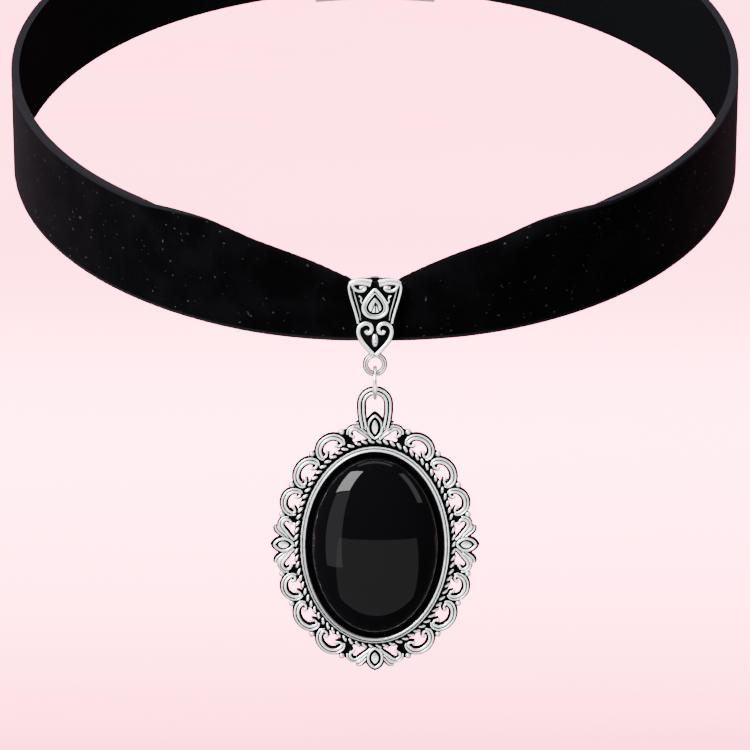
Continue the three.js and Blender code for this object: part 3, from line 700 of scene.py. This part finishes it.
BAIL_OUTLINE = [
    (0.100, 0.00), (0.030, 0.07), (0.004, 0.20), (0.000, 0.48), (0.022, 0.78), (0.068, 0.96),
    (0.130, 1.00), (0.254, 0.90), (0.378, 0.78), (0.502, 0.68), (0.551, 0.66), (0.626, 0.69),
    (0.700, 0.69), (0.787, 0.60), (0.873, 0.45), (0.948, 0.27), (1.000, 0.18),
]
BAIL_RAIL_OUTER = [
    (0.075, 0.90), (0.130, 0.94), (0.254, 0.86), (0.378, 0.75), (0.502, 0.65), (0.580, 0.60),
]
BAIL_RAIL_INNER = [
    (0.100, 0.76), (0.160, 0.77), (0.254, 0.70), (0.378, 0.60), (0.470, 0.53), (0.545, 0.51),
]
BAIL_HEART = [
    (0.985, 0.05), (0.868, 0.36), (0.780, 0.54), (0.690, 0.61), (0.620, 0.56), (0.578, 0.38),
    (0.588, 0.20), (0.640, 0.10), (0.700, 0.15), (0.712, 0.28), (0.675, 0.33),
]
BAIL_ROLL = [(0.075, 0.15), (0.060, 0.30), (0.050, 0.52), (0.056, 0.74), (0.085, 0.87)]
BAIL_VOLUTE = [
    (0.090, 0.80), (0.138, 0.76), (0.170, 0.60), (0.166, 0.42), (0.134, 0.32), (0.112, 0.42),
    (0.128, 0.54),
]
BAIL_LEAF = [(0.225, 0.58), (0.262, 0.46), (0.292, 0.52), (0.330, 0.44)]
BAIL_HATCH = [
    [(1, 0.31, 0.02), (-1, 0.43, 0.13)], [(1, 0.31, 0.03), (1, 0.44, 0.01)],
    [(1, 0.33, 0.06), (1, 0.43, 0.15)],
]
TEARDROP = [
    (0.105, 0.00), (0.160, 0.13), (0.230, 0.30), (0.310, 0.44), (0.390, 0.50), (0.460, 0.44),
    (0.510, 0.28), (0.532, 0.00),
]


# Bars on each side of the bail: line, radius and height over the plate in mm, ends and depth
BAIL_BARS = [
    (BAIL_RAIL_OUTER, 0.24, 0.0, None, 1.9),
    (BAIL_RAIL_INNER, 0.12, 0.0, rounded_ends, 2.8),
    (BAIL_HEART, 0.36, 0.0, None, 1.25),
    (BAIL_VOLUTE, 0.27, 0.04, None, 1.6),
    (BAIL_LEAF, 0.13, 0.0, rounded_ends, 2.0),
]


def bail_point(row, side=1, height=0.0):
    down, half = row
    return Vector((side * half * BAIL_HALF, -height, -down * BAIL_HEIGHT))


def mirrored(rows, height=0.0):
    """Closed outline from the rows of its right half."""
    left = [bail_point(row, -1, height) for row in rows]
    right = [bail_point(row, 1, height) for row in rows if row[1] > 0]
    return left + right[::-1]


def drawn_in(points, centre, share):
    return [centre + (p - centre) * share for p in points]


def bail_bar(rows, side, radius, height, radii=None, depth=1.0):
    line = smoothed([bail_point(row, side, height) for row in rows])
    return wire(line, radius, radii, depth=depth)


def rounded_loop(points):
    """Closed outline with its corners cut twice."""
    for _ in range(2):
        cut = []
        for here, there in zip(points, points[1:] + points[:1]):
            cut.append(here.lerp(there, 0.25))
            cut.append(here.lerp(there, 0.75))
        points = cut
    return points


STRAP_TOP = -0.28 * MM
STRAP_BOTTOM = -9.68 * MM
STRAP_RADIUS = 0.30 * MM
STRAP_WIDENING = 2.6
STRAP_CORNER = 0.9 * MM
STRAP_BITE = 0.3 * MM


def bail_strap():
    """Plain strap behind the ribbon: a bar drawn round the opening."""
    back = bail_high.y - BAIL_BACK - STRAP_RADIUS
    line = [
        Vector((0, -STRAP_BITE, STRAP_TOP)), Vector((0, back * 0.55, STRAP_TOP)),
        Vector((0, back, STRAP_TOP - STRAP_CORNER * 1.5)),
        Vector((0, back, STRAP_BOTTOM + STRAP_CORNER)),
        Vector((0, back - STRAP_CORNER, STRAP_BOTTOM)), Vector((0, -STRAP_BITE, STRAP_BOTTOM)),
    ]
    strap = wire(smoothed(line), STRAP_RADIUS)
    editing(strap)
    bpy.ops.transform.resize(value=(STRAP_WIDENING, 1, 1), center_override=(0, 0, 0))
    done()
    for vertex, dab in zip(strap.data.vertices, polish_paint(strap)):
        dab.value = 0.0 if vertex.co.y < back * 0.6 else 1.0
    return strap


# Wires of the cast ring: radius of the circle and of the wire in millimetres, and depth by width
RING_RIDGES = [(1.47, 0.11, 2.2), (1.17, 0.11, 2.2)]
RING_GROUND = (1.33, 0.41, 0.36)
RING_OUTSIDE = 1.7 * MM


def ring_wire(major, minor, deepened):
    bpy.ops.mesh.primitive_torus_add(
        major_radius=major * MM, minor_radius=minor * MM, major_segments=64, minor_segments=16,
        rotation=(QUARTER_TURN, 0, 0), location=(0, -BAIL_PLATE, bail_low.z + RING_OUTSIDE - BAIL_TOP))
    ring = bpy.context.active_object
    ring.scale = (1, 1, deepened)
    return smooth(settle(ring), 80)


def bail_ring():
    """Small cast ring under the bail, with a groove between its two ridges."""
    ridges = [
        polish(ring_wire(*row), 0.13 * MM, 0.20 * MM, middle=BAIL_PLATE) for row in RING_RIDGES]
    return ridges + [polish_evenly(ring_wire(*RING_GROUND), 0.0)]


def bail_casting():
    """Cast front plate, its raised lines, the strap behind and the ring below."""
    back = plate(mirrored(BAIL_OUTLINE), 0, BAIL_PLATE, edge=0.12 * MM)
    pieces = [back, bail_strap()] + bail_ring()
    top = BAIL_PLATE
    for side in (1, -1):
        for rows, radius, rise, ends, depth in BAIL_BARS:
            pieces.append(bail_bar(rows, side, radius * MM, top + rise * MM, ends, depth))
        roll = bail_bar(BAIL_ROLL, side, 0.58 * MM, top - 0.02 * MM, lambda s: 1.0 - 0.2 * s)
        pieces.append(polish(roll, top + 0.02 * MM, top + 0.14 * MM))
    centre = bail_point((0.37, 0.0))
    drop = mirrored(TEARDROP)
    rim = rounded_loop(drawn_in(drop, centre, 0.88))
    pieces.append(wire(lifted(rim, top), 0.28 * MM, closed=True, depth=1.6))
    thread = rounded_loop(drawn_in(drop, centre, 0.68))
    pieces.append(wire(lifted(thread, top), 0.12 * MM, closed=True, depth=3.0))
    inner = rounded_loop(drawn_in(drop, centre, 0.46))
    drop_boss = plate(inner, 0.3 * MM, top + 0.48 * MM, edge=0.2 * MM)
    pieces.append(polish(drop_boss, top + 0.2 * MM, top + 0.4 * MM))
    for cut in BAIL_HATCH:
        line = [bail_point(row, side, top + 0.47 * MM) for side, *row in cut]
        pieces.append(ground(line, 0.10 * MM))
    pieces.append(ball(bail_point((0.80, 0), 1, top), MM, scale=(0.5, 0.48, 1.0)))
    pit = ball(bail_point((0.835, 0.02), 1, top + 0.42 * MM), 0.13 * MM)
    pieces.append(polish_evenly(pit, 0.0))
    casting = joined(pieces, "bail_casting")
    casting.location = (0, BAIL_BACK, BAIL_TOP)
    settle(casting)
    return faced_out(casting)


# Jump ring and clasp

RING_WIRE = 0.31 * MM
CUT_ANGLE = math.radians(20)
CUT_OPENING = math.radians(4)


def jump_ring():
    """Drawn wire bent to a ring, its two cut ends meeting at the side."""
    centre = (ring_low + ring_high) / 2
    radius = (ring_high.z - ring_low.z) / 2 - RING_WIRE
    steps = 72
    points = []
    for i in range(steps + 1):
        turn = CUT_ANGLE + CUT_OPENING / 2 + (FULL_TURN - CUT_OPENING) * i / steps
        points.append(centre + Vector((0, radius * math.cos(turn), radius * math.sin(turn))))
    ring = wire(points, RING_WIRE, roundness=5)
    ring.name = "jump_ring_wire"
    return ring


def clasp():
    """The clasp's own solid with its edges rounded."""
    solid = copy_of(frame["nodes"]["back_clasp"])
    solid.parent = None
    editing(solid)
    bpy.ops.mesh.remove_doubles(threshold=MM / 1000)
    bpy.ops.mesh.tris_convert_to_quads()
    done()
    rounding = solid.modifiers.new("round edge", "BEVEL")
    rounding.width = 0.18 * MM
    rounding.segments = 3
    rounding.limit_method = "ANGLE"
    rounding.angle_limit = math.radians(40)
    apply_modifiers(solid)
    solid.name = "plain_clasp"
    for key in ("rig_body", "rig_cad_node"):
        if key in solid:
            del solid[key]
    return smooth(solid, 35)


# Ribbon

NECK_AXIS = Vector((0, -math.sin(NECK_LEAN), math.cos(NECK_LEAN)))


def ring_point(angle):
    """Middle of the ribbon, at an angle round the neck from the front."""
    depth = -RING_HALF_DEPTH * math.cos(angle)
    return Vector((
        RING_HALF_WIDTH * math.sin(angle), depth * math.cos(NECK_LEAN), depth * math.sin(NECK_LEAN)))


def hold_at(along, reach, fade):
    """The bail's hold on the ribbon, 1 in the bail and fading to nothing at the reach."""
    past = max(0.0, abs(along) - GATHER_HALF_LENGTH)
    return max(0.0, 1 - past / reach) ** fade


def ribbon_fold(gather):
    """Turn of the bend at the top edge and the straight height below it."""
    gathered = GATHERED_HEIGHT - RIBBON_THICKNESS / 2
    tucked = (RIBBON_WIDTH - gathered) * gather / FOLD_RADIUS
    least = QUARTER_TURN - 1
    if tucked < least:
        turn = QUARTER_TURN * (tucked / least) ** (1 / 3)
    else:
        turn = min(tucked + 1, HALF_TURN)
    tail = max(tucked + 1 - HALF_TURN, 0.0)
    return turn, RIBBON_WIDTH - FOLD_RADIUS * (turn + tail)


def across_fold(reach, turn, rise):
    """Height, depth and facing of the point that lies a length up the cloth."""
    if reach <= rise:
        return reach, 0.0, 0.0
    bent = min((reach - rise) / FOLD_RADIUS, turn)
    over = reach - rise - bent * FOLD_RADIUS
    height = rise + FOLD_RADIUS * math.sin(bent) + over * math.cos(turn)
    depth = FOLD_RADIUS * (1 - math.cos(bent)) + over * math.sin(turn)
    return height, depth, bent


CRUMPLE_DEPTH = 0.15 * MM
CRUMPLE_START = 1.2 * MM
CRUMPLE_REACH = 6.5 * MM
PUCKER_DEPTH = 0.13 * MM
PUCKER_PITCH = 1.35 * MM
PUCKER_REACH = 3.0 * MM


def crumple(along, reach, bent):
    """Small folds that fan out from the bail and die away, and puckers in the top edge."""
    past = abs(along) - GATHER_HALF_LENGTH
    if past < 0:
        return 0.0
    rise = 1 - math.exp(-past / CRUMPLE_START)
    fade = math.exp(-past / CRUMPLE_REACH)
    share = reach / RIBBON_WIDTH
    side = 0.6 if along > 0 else 0.0
    waves = math.sin(FULL_TURN * (2.3 * share + side))
    waves += 0.6 * math.sin(FULL_TURN * (4.1 * share + 0.3 + side))
    pucker = math.sin(FULL_TURN * past / PUCKER_PITCH) * math.exp(-past / PUCKER_REACH)
    return CRUMPLE_DEPTH * rise * fade * waves + PUCKER_DEPTH * rise * pucker * math.sin(bent)


def ribbon_row(angle):
    """Points across the cloth, from its bottom edge up and over the fold at the top."""
    along = angle * RING_MEAN_RADIUS
    heading = (ring_point(angle + 0.001) - ring_point(angle - 0.001)).normalized()
    lean = NECK_LEAN * (1 - hold_at(along, UPRIGHT_REACH, 1.3))
    upright = Vector((0, -math.sin(lean), math.cos(lean)))
    up = (upright - heading * upright.dot(heading)).normalized()
    out = heading.cross(up).normalized()
    foot = ring_point(angle) - NECK_AXIS * (RIBBON_WIDTH / 2)
    turn, rise = ribbon_fold(max(hold_at(along, GATHER_REACH, 1.75), LEAST_GATHER))
    points = []
    for j in range(RIBBON_COLUMNS + 1):
        reach = RIBBON_WIDTH * j / RIBBON_COLUMNS
        height, depth, bent = across_fold(reach, turn, rise)
        facing = out * math.cos(bent) + up * math.sin(bent)
        points.append(foot + up * height - out * depth + facing * crumple(along, reach, bent))
    return points


def ribbon_sheet(angles):
    """The cloth as one sheet, with a map that runs along it and across it."""
    points = [point for angle in angles for point in ribbon_row(angle)]
    width = RIBBON_COLUMNS + 1
    faces = []
    for i in range(len(angles) - 1):
        for j in range(RIBBON_COLUMNS):
            a = i * width + j
            faces.append((a, a + width, a + width + 1, a + 1))
    sheet = bpy.data.meshes.new("velvet_band")
    sheet.from_pydata(points, [], faces)
    uv = sheet.uv_layers.new(name="cloth")
    for corner in sheet.loops:
        row, column = divmod(corner.vertex_index, width)
        uv.data[corner.index].uv = (
            angles[row] * RING_MEAN_RADIUS / RIBBON_WIDTH, column / RIBBON_COLUMNS)
    return sheet


def ribbon():
    """Velvet ribbon, gathered at the bail, with its rows closer together there."""
    end = HALF_TURN - RIBBON_END / RING_HALF_WIDTH
    shares = [i / RIBBON_ROWS for i in range(-RIBBON_ROWS, RIBBON_ROWS + 1)]
    angles = [math.copysign(abs(share) ** 1.8, share) * end for share in shares]
    band = bpy.data.objects.new("velvet_band", ribbon_sheet(angles))
    bpy.context.scene.collection.objects.link(band)
    band.data.materials.append(velvet())
    band.data.materials.append(ribbon_back())
    wall = band.modifiers.new("wall", "SOLIDIFY")
    wall.thickness = RIBBON_THICKNESS * PRESSED
    wall.offset = 0
    wall.use_even_offset = True
    wall.material_offset = 1
    wall.material_offset_rim = 0
    apply_modifiers(band)
    return smooth(band, 50), end * 2 * RING_MEAN_RADIUS


# Shader maths on sockets

class Sum:
    """A shader value that can be added, multiplied and subtracted as a number is."""

    def __init__(self, graph, socket):
        self.graph = graph
        self.socket = socket

    def _with(self, operation, other, swap=False):
        pair = (other, self) if swap else (self, other)
        return self.graph.node("ShaderNodeMath", {"operation": operation}, {0: pair[0], 1: pair[1]})

    def __add__(self, other):
        return self._with("ADD", other)

    __radd__ = __add__

    def __mul__(self, other):
        return self._with("MULTIPLY", other)

    __rmul__ = __mul__

    def __sub__(self, other):
        return self._with("SUBTRACT", other)

    def __rsub__(self, other):
        return self._with("SUBTRACT", other, swap=True)

    def highest(self, other):
        return self._with("MAXIMUM", other)

    def lowest(self, other):
        return self._with("MINIMUM", other)

    def sine(self):
        return self.graph.node("ShaderNodeMath", {"operation": "SINE"}, {0: self})

    def step(self, low, high):
        """0 below low, 1 above high, smooth between."""
        return self.graph.node(
            "ShaderNodeMapRange", {"interpolation_type": "SMOOTHSTEP"},
            {"Value": self, "From Min": low, "From Max": high})


class Graph:
    """A new material whose nodes are added by one method."""

    def __init__(self, name):
        self.material = bpy.data.materials.new(name)
        self.material.use_nodes = True
        self.tree = self.material.node_tree
        self.shader = self.tree.nodes["Principled BSDF"]

    def node(self, kind, settings=None, inputs=None, output=0):
        made = self.tree.nodes.new(kind)
        for key, value in (settings or {}).items():
            setattr(made, key, value)
        for key, value in (inputs or {}).items():
            self.feed(made.inputs[key], value)
        return Sum(self, made.outputs[output])

    def feed(self, socket, value):
        if isinstance(value, Sum):
            self.tree.links.new(value.socket, socket)
        else:
            socket.default_value = value

    def put(self, **values):
        """Sets the shader's own sockets, by names with _ for spaces."""
        for key, value in values.items():
            self.feed(self.shader.inputs[key.replace("_", " ")], value)

    def place(self, output="Object"):
        coordinates = self.tree.nodes.new("ShaderNodeTexCoord")
        return Sum(self, coordinates.outputs[output])

    def axis(self, vector, name):
        split = self.tree.nodes.new("ShaderNodeSeparateXYZ")
        self.tree.links.new(vector.socket, split.inputs[0])
        return Sum(self, split.outputs[name])

    def noise(self, vector, scale, detail=3.0, roughness=0.55):
        return self.node(
            "ShaderNodeTexNoise", {},
            {"Vector": vector, "Scale": scale, "Detail": detail, "Roughness": roughness})

    def mixed(self, factor, low, high):
        mix = self.tree.nodes.new("ShaderNodeMix")
        mix.data_type = "RGBA"
        self.feed(mix.inputs[0], factor)
        self.feed(mix.inputs[6], low)
        self.feed(mix.inputs[7], high)
        return Sum(self, mix.outputs[2])

    def bump(self, height, distance, strength=1.0):
        made = self.tree.nodes.new("ShaderNodeBump")
        made.inputs["Distance"].default_value = distance
        made.inputs["Strength"].default_value = strength
        self.feed(made.inputs["Height"], height)
        return Sum(self, made.outputs["Normal"])


# Finishes

SILVER = (0.97, 0.98, 0.99, 1)
TARNISH = (0.36, 0.35, 0.35, 1)
BLACKING = (0.003, 0.003, 0.0035, 1)
STONE_BLACK = (0.0010, 0.0010, 0.0013, 1)
PILE_DEEP = (0.0004, 0.0004, 0.0005, 1)
PILE_LIT = (0.0018, 0.0017, 0.0020, 1)
LINT = (0.07, 0.07, 0.08, 1)
SELVEDGE_DEEP = (0.002, 0.002, 0.0025, 1)
SELVEDGE_LIT = (0.010, 0.010, 0.012, 1)
WEAVE_DEEP = (0.0012, 0.0015, 0.0017, 1)
WEAVE_LIT = (0.004, 0.005, 0.0055, 1)
RIB_PITCH = 0.32 * MM
THREAD_PITCH = 0.3 * MM


def antique_silver(name, back):
    """Cast silver: bright where it was polished and on its back, black in the recesses."""
    graph = Graph(name)
    place = graph.place()
    height = back - graph.axis(place, "Y")
    reached = graph.node("ShaderNodeAttribute", {"attribute_name": "polish"}, output="Fac")
    wear = graph.noise(place, 1500.0) - 0.5
    bright = (reached + wear * 0.5).step(0.35, 0.65)
    behind = 1 - height.step(0.02 * MM, 0.25 * MM)
    clean = bright.highest(behind)
    cloud = graph.noise(place, 420.0, 2.0).step(0.50, 0.80)
    metal = graph.mixed(cloud * 0.35, SILVER, TARNISH)
    grain = graph.noise(place, 5200.0, 2.0)
    graph.put(
        Base_Color=graph.mixed(clean, BLACKING, metal),
        Roughness=0.55 - clean * 0.23 + (grain - 0.5) * 0.10,
        Normal=graph.bump(grain, 0.012 * MM, 0.35),
    )
    graph.put(Metallic=1.0, Specular_Tint=(0.2, 0.2, 0.22, 1))
    return graph.material


def bright_wire():
    """Drawn wire and the plain clasp: bright, with fine scratches."""
    graph = Graph("drawn_silver_wire")
    place = graph.place()
    scratches = graph.noise(place, 3000.0, 3.0)
    graph.put(
        Base_Color=graph.mixed(scratches.step(0.5, 0.9) * 0.3, SILVER, TARNISH),
        Metallic=1.0,
        Roughness=0.14 + scratches * 0.12,
        Normal=graph.bump(scratches, 0.006 * MM, 0.4),
    )
    return graph.material


def black_glass():
    """Polished opaque stone, with hardly a wave in its surface."""
    graph = Graph("polished_black_stone")
    place = graph.place()
    haze = graph.noise(place, 120.0, 2.0)
    graph.put(
        Roughness=0.03 + haze.step(0.4, 0.9) * 0.03,
        Normal=graph.bump(graph.noise(place, 260.0, 1.0), 0.004 * MM, 0.25),
    )
    graph.put(Base_Color=STONE_BLACK, IOR=1.45, Specular_IOR_Level=0.07)
    return graph.material


def velvet():
    """Cut pile: deep black with a soft sheen, a woven selvedge and a few specks of lint."""
    graph = Graph("black_velvet")
    cloth = graph.place("UV")
    across = graph.axis(cloth, "Y")
    along = graph.axis(cloth, "X")
    edge = SELVEDGE / RIBBON_WIDTH
    from_edge = across.lowest(1 - across)
    woven = 1 - from_edge.step(edge * 0.8, edge * 1.25)
    place = graph.place()
    pile = graph.noise(place, 5200.0, 2.0)
    brushed = graph.noise(place, 190.0, 3.0).step(0.35, 0.75)
    lint = graph.noise(place, 1900.0, 0.0).step(0.80, 0.83)
    ribs = (along * (RIBBON_WIDTH / RIB_PITCH) * FULL_TURN).sine() * 0.5 + 0.5
    nap = graph.mixed(brushed * 0.6 + pile * 0.4, PILE_DEEP, PILE_LIT)
    specked = graph.mixed(lint * 0.25, nap, LINT)
    thread = graph.mixed(ribs, SELVEDGE_DEEP, SELVEDGE_LIT)
    graph.put(
        Base_Color=graph.mixed(woven, specked, thread),
        Roughness=0.93 - woven * 0.25,
        Normal=graph.bump(pile * (1 - woven) + ribs * woven, 0.05 * MM, 0.6),
    )
    graph.put(
        Sheen_Weight=0.02, Sheen_Roughness=0.4, Sheen_Tint=(0.8, 0.8, 0.9, 1),
        Specular_IOR_Level=0.0)
    return graph.material


def ribbon_back():
    """Woven back of the ribbon, a little smoother than the pile."""
    graph = Graph("woven_ribbon_back")
    cloth = graph.place("UV")
    across = graph.axis(cloth, "Y")
    along = graph.axis(cloth, "X")
    threads = RIBBON_WIDTH / THREAD_PITCH
    warp = (across * threads * FULL_TURN).sine() * 0.5 + 0.5
    weft = (along * threads * FULL_TURN).sine() * 0.5 + 0.5
    weave = warp * weft
    graph.put(
        Base_Color=graph.mixed(weave, WEAVE_DEEP, WEAVE_LIT),
        Roughness=0.7 + weave * 0.1,
        Normal=graph.bump(weave, 0.04 * MM, 0.6),
    )
    graph.put(Specular_IOR_Level=0.0)
    return graph.material


# Studio

CAMERA_TILT = math.radians(8)
CAMERA_DISTANCE = 1.0
CAMERA_AIM = Vector((0, 0, -0.0392))
# Width of the photo and focal length of its camera, in pixels
PHOTO_WIDTH = 750
PHOTO_FOCAL = 6812
SENSOR = 36.0
FLOOR_SIZE = 9.0
FLOOR_FRONT = 0.05
FLOOR_DROP = 0.045
FLOOR_LIGHT_SPREAD = 75
WORLD_COLOUR = (0.95, 0.95, 0.97, 1)
WORLD_STRENGTH = 0.42
PINK_DEEP = (0.97, 0.19, 0.31, 1)
PINK_LIGHT = (0.97, 0.23, 0.35, 1)

# Soft lamps turned to the pendant: place and size in metres, and power in watts
LAMPS = [
    ("left_softbox", (-0.40, -0.40, 0.40), (0.34, 0.34), 24.0),
    ("left_strip", (-0.49, -0.53, -0.015), (0.33, 0.56), 3.0),
    ("right_softbox", (0.56, -0.26, 0.34), (0.22, 0.40), 2.2),
    ("front_softbox", (0.05, -0.76, -0.46), (1.5, 0.75), 11.0),
    ("top_softbox", (0.0, 0.15, 0.95), (1.0, 0.8), 16.0),
]
# Soft lamps that shine straight down on the floor
FLOOR_LAMPS = [
    ("floor_softbox", (0.0, 1.45, 0.6), (3.0, 1.9), 180.0),
    ("near_floor_softbox", (0.0, 0.40, 0.22), (1.6, 0.46), 30.0),
]


def point_at(obj, target):
    obj.rotation_euler = (target - obj.location).to_track_quat("-Z", "Y").to_euler()


def camera():
    """Camera at the photo's viewing angle, with the choker as large as it is there."""
    away = Vector((0, -math.cos(CAMERA_TILT), math.sin(CAMERA_TILT)))
    bpy.ops.object.camera_add(location=CAMERA_AIM + away * CAMERA_DISTANCE)
    eye = bpy.context.active_object
    point_at(eye, CAMERA_AIM)
    eye.data.sensor_width = SENSOR
    eye.data.lens = PHOTO_FOCAL * SENSOR / PHOTO_WIDTH
    eye.data.clip_start = 0.01
    bpy.context.scene.camera = eye


def softbox(name, place, size, power, target=OVAL_CENTRE, spread=180):
    bpy.ops.object.light_add(type="AREA", location=place)
    lamp = bpy.context.active_object
    lamp.name = name
    lamp.data.shape = "RECTANGLE"
    lamp.data.size, lamp.data.size_y = size
    lamp.data.energy = power
    lamp.data.spread = math.radians(spread)
    point_at(lamp, Vector(target))


def studio():
    """Floor behind the choker, soft lamps round it and a plain grey world."""
    floor_height = setting_low.z - FLOOR_DROP
    bpy.ops.mesh.primitive_plane_add(
        size=FLOOR_SIZE, location=(0, FLOOR_FRONT + FLOOR_SIZE / 2, floor_height))
    floor = bpy.context.active_object
    floor.name = "pale_floor"
    paint = Graph("pale_paint")
    soft = paint.noise(paint.place(), 6.0, 2.0)
    paint.put(
        Base_Color=paint.mixed(soft, PINK_DEEP, PINK_LIGHT),
        Roughness=0.85,
    )
    paint.put(Specular_IOR_Level=0.2)
    floor.data.materials.append(paint.material)
    for lamp in LAMPS:
        softbox(*lamp)
    for name, place, size, power in FLOOR_LAMPS:
        softbox(name, place, size, power, (0, place[1], floor_height), FLOOR_LIGHT_SPREAD)
    world = bpy.data.worlds.new("studio")
    world.use_nodes = True
    background = world.node_tree.nodes["Background"]
    background.inputs["Color"].default_value = WORLD_COLOUR
    background.inputs["Strength"].default_value = WORLD_STRENGTH
    bpy.context.scene.world = world


# The choker

def dress(piece, material, body, node):
    """Gives a finished piece its material, and puts it in the place of its node."""
    piece.data.materials.clear()
    piece.data.materials.append(material)
    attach(piece, body)
    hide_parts(node)


deselect()
camera()
studio()

band, ribbon_length = ribbon()
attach(band, "band")
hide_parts("velvet_ribbon")

bail_metal = antique_silver("antique_silver_bail", BAIL_BACK)
lace_metal = antique_silver("antique_silver_lace", PENDANT_BACK)
dress(bail_casting(), bail_metal, "band", "bail")
dress(clasp(), bright_wire(), "band", "back_clasp")
dress(jump_ring(), bright_wire(), "ring", "jump_ring")
dress(pendant_casting(), lace_metal, "pendant", "pendant_setting")
dress(cabochon(), black_glass(), "pendant", "cabochon")
